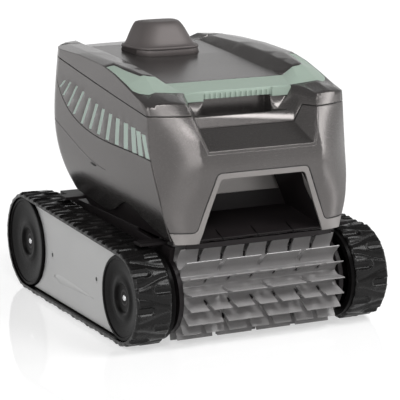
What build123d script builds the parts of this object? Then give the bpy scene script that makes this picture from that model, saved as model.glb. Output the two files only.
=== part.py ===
"""Tracked pool cleaner: casing, hinged lid, filter, pump, two belt tracks and a bladed brush roller.

Millimetres. Z is up and the floor is Z = 0. The brush end faces -Y, and left is -X, as seen from the front.
"""

import math
import os

from build123d import *

os.makedirs("parts", exist_ok=True)

# Running gear
wheelbase = 250.0
front_wheel_r = 43.25
rear_wheel_r = 48.55
belt_gap = 0.3
belt_band = 2.6
tread_depth = 3.0
belt_outer_x = 141.8
belt_width = 37.6
tread_slots = 44
slot_width = 6.5
slot_reach = 22.0
wheel_inset = 1.7
rim_wall = 4.5
rim_bevel = 0.9
rim_lip = 1.1
dish_depth = 6.0
disc_wall = 3.2
centre_depth = 9.0
centre_r = 8.4
flange_rise = 2.2
flange_gap = 0.6
flange_width = 4.0
hub_r = 11.0
axle_r = 6.0
axle_inner_x = 85.0
axle_head_r = 7.2
axle_head = 2.4
fit_gap = 0.05
bush_wall = 2.5
bush_length = 7.8
plate_thickness = 2.8
plate_inset = 1.2
plate_gap = 0.9
frame_inset = 2.5
frame_gap = 3.2
frame_wall = 4.0
plate_screw_r = 2.0
plate_screw_head_r = 4.2
plate_screw_head = 1.6
plate_screw_length = 9.0
front_screw_from_axle = 63.6
rear_screw_from_axle = 69.5
plate_screw_z = 54.0

front_axle_y = -wheelbase / 2
rear_axle_y = wheelbase / 2
belt_thickness = belt_gap + belt_band + tread_depth
front_axle_z = front_wheel_r + belt_thickness
rear_axle_z = rear_wheel_r + belt_thickness
belt_inner_x = belt_outer_x - belt_width
wheel_outer_x = belt_outer_x - wheel_inset
flange_outer_x = belt_inner_x - flange_gap
flange_inner_x = flange_outer_x - flange_width

# Gears
gear_module = 1.5
drive_teeth = 36
pinion_teeth = 12
drive_gear_width = 5.0
gear_side_gap = 0.4
pinion_angle = 150.0
pinion_shaft_r = 2.5
pinion_shaft_length = 29.2
ring_module = 1.2
brush_pinion_teeth = 24
brush_ring_teeth = 32
brush_gear_width = 7.0
brush_axis_angle = 102.0
pressure_angle = 20.0
flank_steps = 4
gear_addendum = 0.7
pinion_addendum = 0.8
dedendum = 1.1
tooth_share = 0.46
ring_space_share = 0.56
ring_root = 0.75

# Brush roller
brush_tip_r = 53.4
brush_half_length = 87.0
brush_rows = 20
brush_first_row = 176.0
sleeve_r = 33.0
sleeve_wall = 2.0
core_wall = 4.0
blade_thickness = 1.6
blade_gap = 3.0
blade_slant = 0.8
blade_root = 0.6
wide_row_blades = 4
narrow_row_blades = 7
cheek_gap = 1.2
collar_length = 6.7
collar_wall = 6.0
cheek_r = 40.0
cheek_top_z = 99.6

# Hull: each row is height, then how far the section stands in from the overall half width, nose and tail
hull_half_width = 115.0
nose_reach = 38.0
tail_reach = 25.0
front_flat = 66.0
facet_bulge = 2.0
skin = 2.5
hull_rows = [
    # height, side in, nose back, corner in, corner back, shoulder from tail, tail in
    (104.5, 20.0, 2.5, 21.0, 9.0, 96.0, 45.0),
    (118.0, 14.5, 0.8, 16.0, 12.5, 85.0, 36.0),
    (147.0, 4.0, 0.0, 9.5, 16.5, 72.0, 17.0),
    (188.0, 0.0, 0.0, 5.0, 28.5, 59.0, 1.0),
    (230.0, 1.5, 16.5, 4.3, 35.0, 58.0, 0.0),
    (262.0, 3.8, 30.0, 4.6, 43.0, 60.0, 2.0),
    (290.0, 6.5, 40.0, 7.0, 51.0, 60.0, 6.0),
]
nose_y = front_axle_y - nose_reach
tail_y = rear_axle_y + tail_reach
foot_z = hull_rows[0][0]
hull_top_z = hull_rows[-1][0]

# Lid roof: each row is a station along Y and the half section there, from the trough floor out over the rail
roof_edge = 130.0
roof_rows = [
    # y, trough half width and height, rail inner top, rail crown, rail outer edge
    (nose_y - 5.0, (60.0, 231.0), (74.0, 233.0), (90.0, 233.0), (110.0, 228.0)),
    (nose_y + 21.0, (60.0, 239.0), (74.0, 241.0), (90.0, 241.0), (110.0, 236.5)),
    (nose_y + 57.0, (60.0, 246.5), (72.0, 247.5), (92.0, 250.0), (111.0, 245.3)),
    (nose_y + 83.6, (66.7, 252.5), (78.8, 260.6), (90.0, 262.0), (111.0, 253.5)),
    (nose_y + 112.0, (66.7, 254.7), (79.5, 264.3), (93.0, 265.6), (111.0, 261.3)),
    (nose_y + 142.0, (66.7, 257.0), (80.0, 267.3), (98.0, 268.6), (111.0, 266.7)),
    (tail_y - 110.0, (66.5, 262.0), (80.0, 271.0), (100.0, 271.5), (109.0, 270.0)),
    (tail_y - 38.0, (65.0, 266.5), (78.0, 271.5), (92.0, 271.8), (102.0, 270.5)),
    (tail_y + 5.0, (60.0, 264.5), (70.0, 271.3), (85.0, 271.0), (95.0, 268.5)),
]
lid_skin = 6.0
seam_gap = 0.8
seam_front_y = nose_y + 35.0
seam_front_z = 229.6
lid_rear_y = tail_y - 38.0
seam_rear_z = 263.1
hinge_z = 268.4
hinge_pin_r = 2.0
hinge_knuckle_r = 3.4
knuckle_gap = 0.5
knuckle_length = 8.0
hinge_inner_x = 79.0
hinge_relief = 0.65

# Recess under the lid, with its lip and finger pocket
notch_front_y = nose_y - 12.0
notch_rear_y = nose_y + 33.8
notch_floor_z = 213.3
notch_slope = 0.548
notch_half = 52.9
notch_top_z = 275.0
facet_rise = 0.554
facet_run = -0.485
lip_y = nose_y + 38.8
lip_z = 223.8
lip_fall = 1.0
bar_y = nose_y + 56.8
pocket_half = 39.0
pocket_front_y = nose_y + 44.0
pocket_rear_y = nose_y + 71.0
pocket_floor_z = 214.0
pocket_top_z = 238.5
wall = 2.5

# Handle trim and sunk top panel
handle_depth = 4.2
handle_points = [
    # right half of the plan: from the front bar to the shoulder, back to the tip, forward along the rail
    (66.4, bar_y),
    (98.5, nose_y + 54.5),
    (105.5, nose_y + 61.5),
    (109.2, nose_y + 70.0),
    (109.6, nose_y + 103.0),
    (109.4, nose_y + 134.0),
    (101.0, nose_y + 133.5),
    (98.5, nose_y + 112.0),
    (93.0, nose_y + 87.5),
    (86.0, nose_y + 83.6),
]
handle_foot_half = 60.5
handle_foot_z = 236.8
handle_foot_proud = 2.9
grip_ribs = 13
grip_half = 35.0
rib_width = 2.6
rib_proud = 1.2
rib_top_z = 244.0
panel_depth = 2.4
panel_half = 65.6
panel_front_y = nose_y + 84.5
panel_rear_y = lid_rear_y - 3.0

# Outlet hood, on a flange that stands clear of the panel
outlet_y = tail_y - 78.0
outlet_r = 28.0
flange_z = 268.0
flange_thickness = 3.0
flange_front_y = outlet_y - 32.0
flange_rear_y = outlet_y + 29.0
flange_front_half = 35.5
flange_rear_half = 42.0
flange_corner_r = 10.0
neck_z = 258.0
hood_front_y = outlet_y - 23.0
hood_rear_y = outlet_y + 22.0
hood_front_half = 22.5
hood_rear_half = 40.0
hood_top_z = 296.0
hood_top_front_y = outlet_y - 10.0
hood_top_rear_y = outlet_y + 20.0
hood_top_half = 15.0
hood_top_rear_half = 23.0
hood_shoulder = 0.62
hood_corner_r = 10.0
hood_top_corner_r = 8.0
hood_edge_r = 6.0
hood_wall = 2.4
vent_half = 24.0
vent_count = 4
vent_front_y = outlet_y + 9.6
vent_top_z = hood_top_z - 10.0

# Front fascia and mouth
mouth_top_half = 47.0
mouth_foot_half = 71.5
mouth_top_z = 168.0
mouth_corner_r = 5.0
groove_top_half = 50.6
groove_top_z = 174.4
groove_foot_half = 72.6
groove_foot_z = 116.3
groove_gap = 0.8
groove_corner_r = 6.0
liner_rear_y = nose_y + 65.0
liner_wall = 2.2
liner_flare = 2.0
liner_taper = 10.0
liner_lip_z = 106.8
liner_rear_z = 121.0
bumper_z = 99.6
bumper_depth = 5.0
bumper_half = 82.0

# Side panels and stripes
panel_seam = [
    (nose_y + 21.0, 186.0),
    (nose_y + 119.0, 190.0),
    (tail_y - 122.0, 198.5),
    (tail_y - 85.0, 212.0),
    (tail_y - 58.0, 234.0),
    (tail_y - 44.0, 268.0),
]
panel_edge_x = 60.0
stripe_rows = [
    # foot y, top y, top height, width
    (nose_y + 33.8, nose_y + 42.0, 210.9, 8.0),
    (nose_y + 48.4, nose_y + 53.4, 212.5, 9.4),
    (nose_y + 62.3, nose_y + 64.8, 214.5, 9.6),
    (nose_y + 81.5, nose_y + 81.0, 216.2, 9.6),
    (nose_y + 102.6, nose_y + 99.5, 218.2, 8.6),
    (nose_y + 125.0, nose_y + 116.8, 220.1, 7.4),
    (nose_y + 146.1, nose_y + 134.0, 222.8, 6.8),
    (tail_y - 146.3, tail_y - 162.6, 225.5, 6.3),
    (tail_y - 125.4, tail_y - 144.6, 228.9, 5.8),
    (tail_y - 104.2, tail_y - 127.7, 233.3, 5.2),
    (tail_y - 88.1, tail_y - 110.6, 236.9, 4.6),
    (tail_y - 74.7, tail_y - 93.2, 238.7, 4.2),
    (tail_y - 65.3, tail_y - 78.1, 238.3, 4.0),
]
stripe_foot_gap = 1.5
stripe_depth = 0.9

# Base tray
tray_half = 93.0
tray_wall = 4.0
tray_floor_z = 22.0
tray_front_y = front_axle_y + 59.0
tray_rear_y = rear_axle_y + 13.0
tray_edge = 10.0
deck_thickness = 3.0
skirt_top_z = 140.0
skirt_gap = 0.5
skirt_front_y = nose_y + 23.0
skirt_front_half = 80.0
casing_edge = [
    (nose_y + 13.0, 107.0),
    (nose_y + 21.0, 108.0),
    (nose_y + 68.0, 121.0),
    (nose_y + 98.0, 131.0),
    (nose_y + 125.0, 122.0),
    (tail_y - 157.0, 111.5),
    (tail_y - 120.0, 114.0),
    (tail_y - 85.0, 119.0),
    (tail_y - 40.0, 121.0),
    (tail_y + 10.0, 122.0),
]
tab_half = 8.0
tab_outer_x = 118.0
tab_thickness = 3.0
front_tab_y = front_axle_y + 5.0
rear_tab_y = rear_axle_y - 55.0
rear_tab_z = 110.5

# Suction inlet, filter basket and flap
inlet_half = 62.0
inlet_front_y = tray_front_y + 6.0
inlet_length = 26.0
duct_wall = 3.0
basket_half = 80.0
basket_front_y = tray_front_y - 20.0
basket_rear_y = tray_front_y + 88.0
basket_top_z = 208.0
basket_wall = 2.0
basket_corner_r = 10.0
window_rib = 10.0
window_count = 3
mesh_thickness = 0.8
cover_rim = 3.0
flap_thickness = 2.0
flap_pin_r = 1.5
flap_lift = 0.8
flap_overlap = 3.0
flap_lug = 4.0
flap_side_gap = 0.5

# Pump and propeller
housing_r = 26.0
housing_top_z = 188.0
housing_wall = 3.0
seal_thickness = 1.0
cover_r = 44.0
cover_thickness = 4.0
pump_r = 21.0
pump_top_z = 168.0
shaft_r = 4.0
shaft_bottom_z = 120.0
propeller_r = 36.0
propeller_z = 240.0
propeller_hub_r = 9.0
propeller_hub = 16.0
propeller_blades = 3
propeller_blade = 16.0
propeller_blade_wall = 2.0
propeller_pitch = 30.0
duct_gap = 2.0
duct_ring = 2.5
duct_bottom_z = 224.0
duct_top_z = 254.0
duct_posts = 3
duct_post_width = 12.0
duct_post_depth = 10.0

# Traction motors and cable gland
traction_r = 15.0
traction_length = 46.0
gland_z = 212.0
gland_r = 11.0
gland_thread_r = 8.0
gland_bore_r = 4.2
gland_seat = 1.0
gland_flange = 8.0
gland_thread = 10.0

reach = roof_edge + 20.0
seam_half = seam_gap / 2
zone_margin = 2 * wall


def hull_loft(inset):
    """Loft the plan sections of the hull, each drawn inset from its outline."""
    sections = []
    for height, side_in, nose_back, corner_in, corner_back, shoulder, tail_in in hull_rows:
        half = hull_half_width - side_in - inset
        front = nose_y + nose_back + inset
        corner = Vector(hull_half_width - corner_in - inset, nose_y + corner_back + inset / 2)
        shoulder_y = tail_y - shoulder
        rear = tail_y - tail_in - inset
        flat = front_flat - inset / 2
        middle = Vector((flat + corner.X) / 2 + facet_bulge, (front + corner.Y) / 2 - facet_bulge)
        bend_y = (corner.Y + shoulder_y) / 2
        depth = rear - shoulder_y
        with BuildSketch(Plane.XY.offset(height)) as section:
            with BuildLine():
                Line((-flat, front), (flat, front))
                ThreePointArc((flat, front), (middle.X, middle.Y), (corner.X, corner.Y))
                Bezier((corner.X, corner.Y), (half, bend_y), (half, shoulder_y))
                EllipticalCenterArc((0, shoulder_y), half, depth, 0, arc_size=90)
                EllipticalCenterArc((0, shoulder_y), half, depth, 90, arc_size=90)
                Bezier((-half, shoulder_y), (-half, bend_y), (-corner.X, corner.Y))
                ThreePointArc((-corner.X, corner.Y), (-middle.X, middle.Y), (-flat, front))
            make_face()
        sections.append(section.sketch)
    loft(sections)


def roof_loft(drop):
    """Loft the cross sections of the lid roof, each lowered by drop, down to the foot of the hull."""
    sections = []
    for y, trough, inner, crown, edge in roof_rows:
        slope = (edge[1] - crown[1]) / (edge[0] - crown[0])
        half = [trough, inner, crown, (roof_edge, crown[1] + slope * (roof_edge - crown[0]))]
        right = [(x, z - drop) for x, z in half]
        left = [(-x, z) for x, z in reversed(right)]
        with BuildSketch(Plane.XZ.offset(-y)) as section:
            with BuildLine():
                Polyline(*left, *right, (roof_edge, foot_z), (-roof_edge, foot_z), close=True)
            make_face()
        sections.append(section.sketch)
    loft(sections, ruled=True)


def outline(points, plane):
    """Make a face from a closed polyline on a plane."""
    with BuildSketch(plane) as section:
        with BuildLine():
            Polyline(*points, close=True)
        make_face()
    return section.sketch


def rounded(points, plane, radius, grow=0.0):
    """Make a face from a closed polyline with rounded corners, grown if asked."""
    with BuildSketch(plane) as section:
        with BuildLine():
            FilletPolyline(*points, radius=radius, close=True)
        make_face()
        if grow:
            offset(amount=grow)
    return section.sketch


def prism_x(points, x_from, x_to, mode=Mode.ADD):
    """Extrude a side view outline, in Y and Z, from one X to another."""
    return extrude(outline(points, Plane.YZ.offset(x_from)), amount=x_to - x_from, mode=mode)


def prism_y(points, y_from, y_to, mode=Mode.ADD):
    """Extrude a front view outline, in X and Z, from one Y to another."""
    return extrude(outline(points, Plane.XZ.offset(-y_to)), amount=y_to - y_from, mode=mode)


def prism_z(points, z_from, z_to, mode=Mode.ADD):
    """Extrude a plan outline from one height to another."""
    return extrude(outline(points, Plane.XY.offset(z_from)), amount=z_to - z_from, mode=mode)


def disc_x(x_from, x_to, y, z, radius, mode=Mode.ADD):
    """Extrude a circle along X."""
    with BuildSketch(Plane(origin=(x_from, y, z), x_dir=(0, 1, 0), z_dir=(1, 0, 0))) as section:
        Circle(radius)
    return extrude(section.sketch, amount=x_to - x_from, mode=mode)


def disc_z(z_from, z_to, radius, mode=Mode.ADD):
    """Extrude a circle about the outlet axis from one height to another."""
    with BuildSketch(Plane(origin=(0, outlet_y, z_from))) as section:
        Circle(radius)
    return extrude(section.sketch, amount=z_to - z_from, mode=mode)


def turn_x(points, y, z):
    """Revolve a half section, in X and radius, about an axis along X."""
    plane = Plane(origin=(0, y, z), x_dir=(1, 0, 0), z_dir=(0, -1, 0))
    return revolve(outline(points, plane), axis=Axis((0, y, z), (1, 0, 0)))


def curve_prism(curve, corners, x_from, x_to, mode):
    """Extrude along X a side view outline with one curved edge."""
    with BuildSketch(Plane.YZ.offset(x_from)) as section:
        with BuildLine():
            Spline(*curve)
            Polyline(curve[-1], *corners, curve[0])
        make_face()
    return extrude(section.sketch, amount=x_to - x_from, mode=mode)


def shifted(curve, dy, dz):
    """Move a list of points."""
    return [(y + dy, z + dz) for y, z in curve]


def mirrored(points):
    """Close a right half outline with its mirror image in X."""
    return points + [(-x, y) for x, y in reversed(points)]


def rectangle(x_from, x_to, y_from, y_to):
    """Corner points of a rectangle."""
    return [(x_from, y_from), (x_to, y_from), (x_to, y_to), (x_from, y_to)]


def finish(builder, name):
    """Label a finished piece and write it."""
    builder.part.label = name
    export_step(builder.part, f"parts/{name}.step")


# Reference forms of the hull

with BuildPart() as hull:
    hull_loft(0.0)

with BuildPart() as roof:
    roof_loft(0.0)

with BuildPart() as block:
    add(hull.part)
    add(roof.part, mode=Mode.INTERSECT)

with BuildPart() as under_roof:
    roof_loft(lid_skin)

with BuildPart() as hollow:
    hull_loft(skin)
    add(under_roof.part, mode=Mode.INTERSECT)

with BuildPart() as shell:
    add(block.part)
    add(hollow.part, mode=Mode.SUBTRACT)

under_lid = rectangle(notch_front_y, lid_rear_y + seam_half, foot_z - wall, hull_top_z)
with BuildPart() as lid_opening:
    hull_loft(skin)
    prism_x(under_lid, -reach, reach, Mode.INTERSECT)

in_opening = rectangle(seam_front_y, lid_rear_y - seam_half, seam_front_z, hull_top_z)
with BuildPart() as lid_plug:
    hull_loft(skin + seam_gap)
    prism_x(in_opening, -reach, reach, Mode.INTERSECT)
    add(shell.part, mode=Mode.INTERSECT)


def facet_half(y, z):
    """Half width of the recess between its two slanting side facets."""
    return notch_half + facet_rise * (z - notch_floor_z) + facet_run * (y - notch_rear_y)


def recess_section(y, floor, grow):
    """Front view section of the recess at one station."""
    points = [(facet_half(y, floor) + grow, floor), (facet_half(y, notch_top_z) + grow, notch_top_z)]
    return outline(mirrored(points), Plane.XZ.offset(-y))


def recess_loft(grow):
    """Fill the recess, from its sloping floor over the lip to the handle, with the finger pocket."""
    front_floor = notch_floor_z + notch_slope * (notch_front_y - notch_rear_y)
    stations = [
        (notch_front_y, front_floor),
        (notch_rear_y, notch_floor_z),
        (lip_y, lip_z),
        (bar_y + grow, lip_z - lip_fall),
    ]
    for near, far in zip(stations, stations[1:]):
        ends = [recess_section(y, floor - grow, grow) for y, floor in (near, far)]
        loft(ends, ruled=True)
    prism_x(
        [
            (pocket_front_y - grow, lip_z),
            (pocket_front_y - grow, pocket_floor_z - grow),
            (pocket_rear_y + grow, pocket_floor_z - grow),
            (pocket_rear_y + grow, pocket_top_z + grow),
            (bar_y, pocket_top_z + grow),
        ],
        -pocket_half - grow,
        pocket_half + grow,
    )


with BuildPart() as recess:
    recess_loft(0.0)

with BuildPart() as recess_outer:
    recess_loft(wall)

above_seam = [
    (notch_front_y, seam_front_z + seam_half),
    (seam_front_y, seam_front_z + seam_half),
    (lid_rear_y - seam_half, seam_rear_z + seam_half),
    (lid_rear_y - seam_half, hull_top_z),
    (notch_front_y, hull_top_z),
]
below_seam = [
    (notch_front_y, seam_front_z - seam_half),
    (seam_front_y, seam_front_z - seam_half),
    (lid_rear_y + seam_half, seam_rear_z - seam_half),
    (lid_rear_y + seam_half, hull_top_z),
    (tail_y + reach, hull_top_z),
    (tail_y + reach, foot_z - wall),
    (notch_front_y, foot_z - wall),
]
lip_zone = [
    (notch_front_y, seam_front_z + seam_half),
    (notch_rear_y + seam_half, seam_front_z + seam_half),
    (notch_rear_y + seam_half, pocket_floor_z - zone_margin),
    (pocket_rear_y + zone_margin, pocket_floor_z - zone_margin),
    (pocket_rear_y + zone_margin, hull_top_z),
    (notch_front_y, hull_top_z),
]
handle_plan = mirrored(handle_points)
panel_plan = rectangle(-panel_half, panel_half, panel_front_y, panel_rear_y)

with BuildPart() as roof_under_handle:
    roof_loft(handle_depth)

with BuildPart() as roof_under_panel:
    roof_loft(panel_depth)

with BuildPart() as handle_layer:
    add(block.part)
    prism_z(handle_plan, seam_front_z, hull_top_z, Mode.INTERSECT)
    add(roof_under_handle.part, mode=Mode.SUBTRACT)

with BuildPart() as panel_layer:
    add(block.part)
    prism_z(panel_plan, seam_front_z, hull_top_z, Mode.INTERSECT)
    add(roof_under_panel.part, mode=Mode.SUBTRACT)


def front_bar(grow):
    """Front edge of the handle: a foot at each side and the grip between them, grown if asked."""
    half = handle_foot_half + grow
    pocket = pocket_half - grow
    front = bar_y - handle_foot_proud - grow
    prism_y(rectangle(-half, half, handle_foot_z - grow, hull_top_z), front, bar_y + wall + grow)
    under_grip = rectangle(-pocket, pocket, handle_foot_z - wall, pocket_top_z - grow)
    prism_y(under_grip, front - wall, bar_y + zone_margin, Mode.SUBTRACT)
    before_grip = rectangle(-pocket, pocket, handle_foot_z - wall, hull_top_z + wall)
    prism_y(before_grip, front - wall, bar_y - grow, Mode.SUBTRACT)
    add(roof.part, mode=Mode.INTERSECT)


with BuildPart() as bar_space:
    front_bar(fit_gap)

with BuildPart() as lip:
    add(recess_outer.part)
    add(recess.part, mode=Mode.SUBTRACT)
    add(block.part, mode=Mode.INTERSECT)
    prism_x(lip_zone, -reach, reach, Mode.INTERSECT)

# Lid

hinge_y = lid_rear_y
knuckle_mid_x = hinge_inner_x + knuckle_length
knuckle_end_x = knuckle_mid_x + knuckle_length
relief_rise = hull_top_z - hinge_z


def hinge_groove(side):
    """Relief above the hinge line, on the lid side (-1) or on the casing side (1)."""
    edge = hinge_y + side * seam_half
    return [
        (edge, hinge_z),
        (edge + side * relief_rise * hinge_relief, hull_top_z),
        (hinge_y - side * seam_gap, hull_top_z),
        (hinge_y - side * seam_gap, hinge_z),
    ]


with BuildPart() as lid_shell:
    add(shell.part)
    prism_x(above_seam, -reach, reach, Mode.INTERSECT)
    add(lid_plug.part)
    add(recess.part, mode=Mode.SUBTRACT)
    add(lip.part)
    add(handle_layer.part, mode=Mode.SUBTRACT)
    add(panel_layer.part, mode=Mode.SUBTRACT)
    add(bar_space.part, mode=Mode.SUBTRACT)
    prism_x(hinge_groove(-1), -reach, reach, Mode.SUBTRACT)
    for side in (-1, 1):
        disc_x(side * (knuckle_mid_x - knuckle_gap), side * (knuckle_end_x + knuckle_gap), hinge_y, hinge_z,
               hinge_knuckle_r + knuckle_gap, Mode.SUBTRACT)
        disc_x(side * hinge_inner_x, side * (knuckle_mid_x - knuckle_gap / 2), hinge_y, hinge_z,
               hinge_knuckle_r)
        disc_x(side * hinge_inner_x, side * knuckle_end_x, hinge_y, hinge_z, hinge_pin_r + fit_gap,
               Mode.SUBTRACT)
    disc_z(seam_front_z, hull_top_z, outlet_r, Mode.SUBTRACT)
finish(lid_shell, "lid_shell")

rib_pitch = 2 * grip_half / (grip_ribs - 1)
with BuildPart() as lid_handle:
    front_bar(0.0)
    add(handle_layer.part)
    for index in range(grip_ribs):
        rib_x = -grip_half + index * rib_pitch
        rib = rectangle(rib_x - rib_width / 2, rib_x + rib_width / 2, pocket_top_z, rib_top_z)
        prism_y(rib, bar_y - rib_proud, bar_y + wall)
finish(lid_handle, "lid_handle")

with BuildPart() as top_panel:
    add(panel_layer.part)
    disc_z(seam_front_z, hull_top_z, outlet_r, Mode.SUBTRACT)
finish(top_panel, "top_panel")


def hood_section(height, front, rear, front_half, rear_half, radius):
    """Plan section of the hood, narrow in front and wide behind, with round corners."""
    shoulder_y = front + hood_shoulder * (rear - front)
    points = mirrored([(front_half, front), (rear_half, shoulder_y), (rear_half, rear)])
    return rounded(points, Plane.XY.offset(height), radius)


def hood_loft(inset, bottom, top, mode=Mode.ADD):
    """Loft the hood, inset from its outer face."""
    foot = hood_section(bottom, hood_front_y + inset, hood_rear_y - inset, hood_front_half - inset / 2,
                        hood_rear_half - inset, hood_corner_r - inset)
    crown = hood_section(top, hood_top_front_y + inset, hood_top_rear_y - inset, hood_top_half - inset / 2,
                         hood_top_rear_half - inset, hood_top_corner_r - inset)
    loft([foot, crown], mode=mode)


hood_base_z = flange_z + flange_thickness
vent_pitch = 2 * vent_half / vent_count
with BuildPart() as outlet_hood:
    hood_loft(0.0, hood_base_z, hood_top_z)
    fillet(outlet_hood.faces().sort_by(Axis.Z)[-1].edges(), hood_edge_r)
    flange = hood_section(flange_z, flange_front_y, flange_rear_y, flange_front_half, flange_rear_half,
                          flange_corner_r)
    extrude(flange, amount=flange_thickness)
    disc_z(neck_z, flange_z, outlet_r - fit_gap)
    hood_loft(hood_wall, hood_base_z, hood_top_z - hood_wall, Mode.SUBTRACT)
    disc_z(neck_z, hood_base_z, outlet_r - hood_wall, Mode.SUBTRACT)
    for index in range(vent_count):
        vent_x = -vent_half + index * vent_pitch + hood_wall / 2
        vent = rectangle(vent_x, vent_x + vent_pitch - hood_wall, hood_base_z + hood_wall, vent_top_z)
        prism_y(vent, vent_front_y, flange_rear_y, Mode.SUBTRACT)
finish(outlet_hood, "outlet_hood")

# Front: recess panel, fascia, mouth frame, mouth liner and bumper

with BuildPart() as front_inset_panel:
    add(recess_outer.part)
    add(recess.part, mode=Mode.SUBTRACT)
    add(block.part, mode=Mode.INTERSECT)
    inset_zone = rectangle(notch_front_y, notch_rear_y - seam_half, foot_z, seam_front_z - seam_half)
    prism_x(inset_zone, -reach, reach, Mode.INTERSECT)
finish(front_inset_panel, "front_inset_panel")

crease = [(nose_y + row[4], row[0]) for row in hull_rows]
crease = [(crease[0][0] - wall, crease[0][1] - zone_margin)] + crease
front_corners = [(notch_front_y, hull_top_z), (notch_front_y, crease[0][1])]
rear_corners = [(tail_y + reach, hull_top_z), (tail_y + reach, crease[0][1])]
fascia_outline = mirrored(
    [
        (groove_top_half, groove_top_z),
        (groove_foot_half, groove_foot_z),
        (reach, groove_foot_z),
        (reach, hull_top_z),
    ]
)
fascia_plane = Plane.XZ.offset(-liner_rear_y)
fascia_reach = liner_rear_y - notch_front_y + wall
mouth_outline = mirrored([(mouth_top_half, mouth_top_z), (mouth_foot_half, foot_z - zone_margin)])

with BuildPart() as front_body:
    add(shell.part)
    prism_x(below_seam, -reach, reach, Mode.INTERSECT)
    curve_prism(shifted(crease, -seam_half, 0), front_corners, -reach, reach, Mode.INTERSECT)

with BuildPart() as rear_body:
    add(shell.part)
    prism_x(below_seam, -reach, reach, Mode.INTERSECT)
    curve_prism(shifted(crease, seam_half, 0), rear_corners, -reach, reach, Mode.INTERSECT)
    add(lid_opening.part, mode=Mode.SUBTRACT)

with BuildPart() as front_fascia:
    add(front_body.part)
    extrude(rounded(fascia_outline, fascia_plane, groove_corner_r), amount=fascia_reach, mode=Mode.INTERSECT)
    add(recess_outer.part, mode=Mode.SUBTRACT)
finish(front_fascia, "front_fascia")

with BuildPart() as mouth_frame:
    add(front_body.part)
    above_groove = rounded(fascia_outline, fascia_plane, groove_corner_r, groove_gap)
    extrude(above_groove, amount=fascia_reach, mode=Mode.SUBTRACT)
    extrude(rounded(mouth_outline, fascia_plane, mouth_corner_r), amount=fascia_reach, mode=Mode.SUBTRACT)
finish(mouth_frame, "mouth_frame")


def liner_loft(grow):
    """Loft the mouth cavity from the nose to its back wall."""
    sections = []
    for y, flare, top_z, floor in (
        (nose_y - liner_flare, liner_flare, mouth_top_z + liner_flare, liner_lip_z),
        (liner_rear_y + grow, -liner_taper, mouth_top_z - liner_flare, liner_rear_z),
    ):
        top = (mouth_top_half + flare / 2 + grow, top_z + grow)
        foot = (mouth_foot_half + flare + grow, floor - grow)
        half = [top, foot]
        sections.append(outline(mirrored(half), Plane.XZ.offset(-y)))
    loft(sections, ruled=True)


with BuildPart() as mouth_space:
    liner_loft(0.0)

with BuildPart() as mouth_liner:
    liner_loft(liner_wall)
    add(mouth_space.part, mode=Mode.SUBTRACT)
    add(hollow.part, mode=Mode.INTERSECT)
finish(mouth_liner, "mouth_liner")

bumper_front_y = nose_y + hull_rows[0][2]
bumper_slope = (hull_rows[0][4] - hull_rows[0][2]) / (hull_half_width - hull_rows[0][3] - front_flat)
bumper_side_y = bumper_front_y + bumper_slope * (bumper_half - front_flat)
with BuildPart() as front_bumper:
    prism_z(
        mirrored(
            [
                (front_flat, bumper_front_y),
                (bumper_half, bumper_side_y),
                (bumper_half, bumper_front_y + bumper_depth),
            ]
        ),
        bumper_z,
        foot_z,
    )
finish(front_bumper, "front_bumper")

# Casing, hinge pins, side panels and stripes

with BuildPart() as main_casing:
    add(rear_body.part)
    add(recess_outer.part, mode=Mode.SUBTRACT)
    edge_corners = [(casing_edge[-1][0], hull_top_z), (casing_edge[0][0], hull_top_z)]
    curve_prism(casing_edge, edge_corners, -reach, reach, Mode.INTERSECT)
    panel_cut = shifted(panel_seam, seam_half / 2, -seam_half)
    panel_corners = [(panel_cut[-1][0], hull_top_z), (panel_cut[0][0] - wall, hull_top_z)]
    panel_corners.append((panel_cut[0][0] - wall, panel_cut[0][1]))
    for side in (-1, 1):
        curve_prism(panel_cut, panel_corners, side * panel_edge_x, side * reach, Mode.SUBTRACT)
    prism_x(hinge_groove(1), -reach, reach, Mode.SUBTRACT)
    for side in (-1, 1):
        disc_x(side * (hinge_inner_x - knuckle_gap), side * knuckle_mid_x, hinge_y, hinge_z,
               hinge_knuckle_r + knuckle_gap, Mode.SUBTRACT)
        disc_x(side * (knuckle_mid_x + knuckle_gap / 2), side * knuckle_end_x, hinge_y, hinge_z,
               hinge_knuckle_r)
        disc_x(side * hinge_inner_x, side * knuckle_end_x, hinge_y, hinge_z, hinge_pin_r + fit_gap,
               Mode.SUBTRACT)
    with BuildSketch(Plane.XZ.offset(-tail_y - gland_seat)) as gland_hole:
        with Locations((0, gland_z)):
            Circle(gland_thread_r + fit_gap)
    extrude(gland_hole.sketch, amount=gland_thread + gland_seat, mode=Mode.SUBTRACT)
finish(main_casing, "main_casing")

with BuildPart() as hinge_pins:
    for side in (-1, 1):
        disc_x(side * hinge_inner_x, side * knuckle_end_x, hinge_y, hinge_z, hinge_pin_r)
finish(hinge_pins, "hinge_pins")

with BuildPart() as pocket_floor:
    hull_loft(stripe_depth + 2 * fit_gap)

with BuildPart() as stripe_floor:
    hull_loft(stripe_depth)


def seam_under(y):
    """Height of the panel seam, from the points it passes through."""
    for (y0, z0), (y1, z1) in zip(panel_seam, panel_seam[1:]):
        if y <= y1:
            return z0 + (z1 - z0) * (y - y0) / (y1 - y0)
    return panel_seam[-1][1]


def stripe_prisms(grow):
    """All slanting stripes of the left side, each standing on the panel seam."""
    with BuildSketch(Plane.YZ.offset(-panel_edge_x)) as section:
        for foot_y, top_y, top_z, width in stripe_rows:
            half = width / 2 + grow
            low = seam_under(foot_y) + stripe_foot_gap - grow
            high = top_z + grow
            with BuildLine():
                foot_corners = (foot_y - half, low), (foot_y + half, low)
                Polyline(*foot_corners, (top_y + half, high), (top_y - half, high), close=True)
            make_face()
    extrude(section.sketch, amount=panel_edge_x - reach)


with BuildPart() as stripe_pockets:
    stripe_prisms(2 * fit_gap)
    add(pocket_floor.part, mode=Mode.SUBTRACT)

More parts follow.
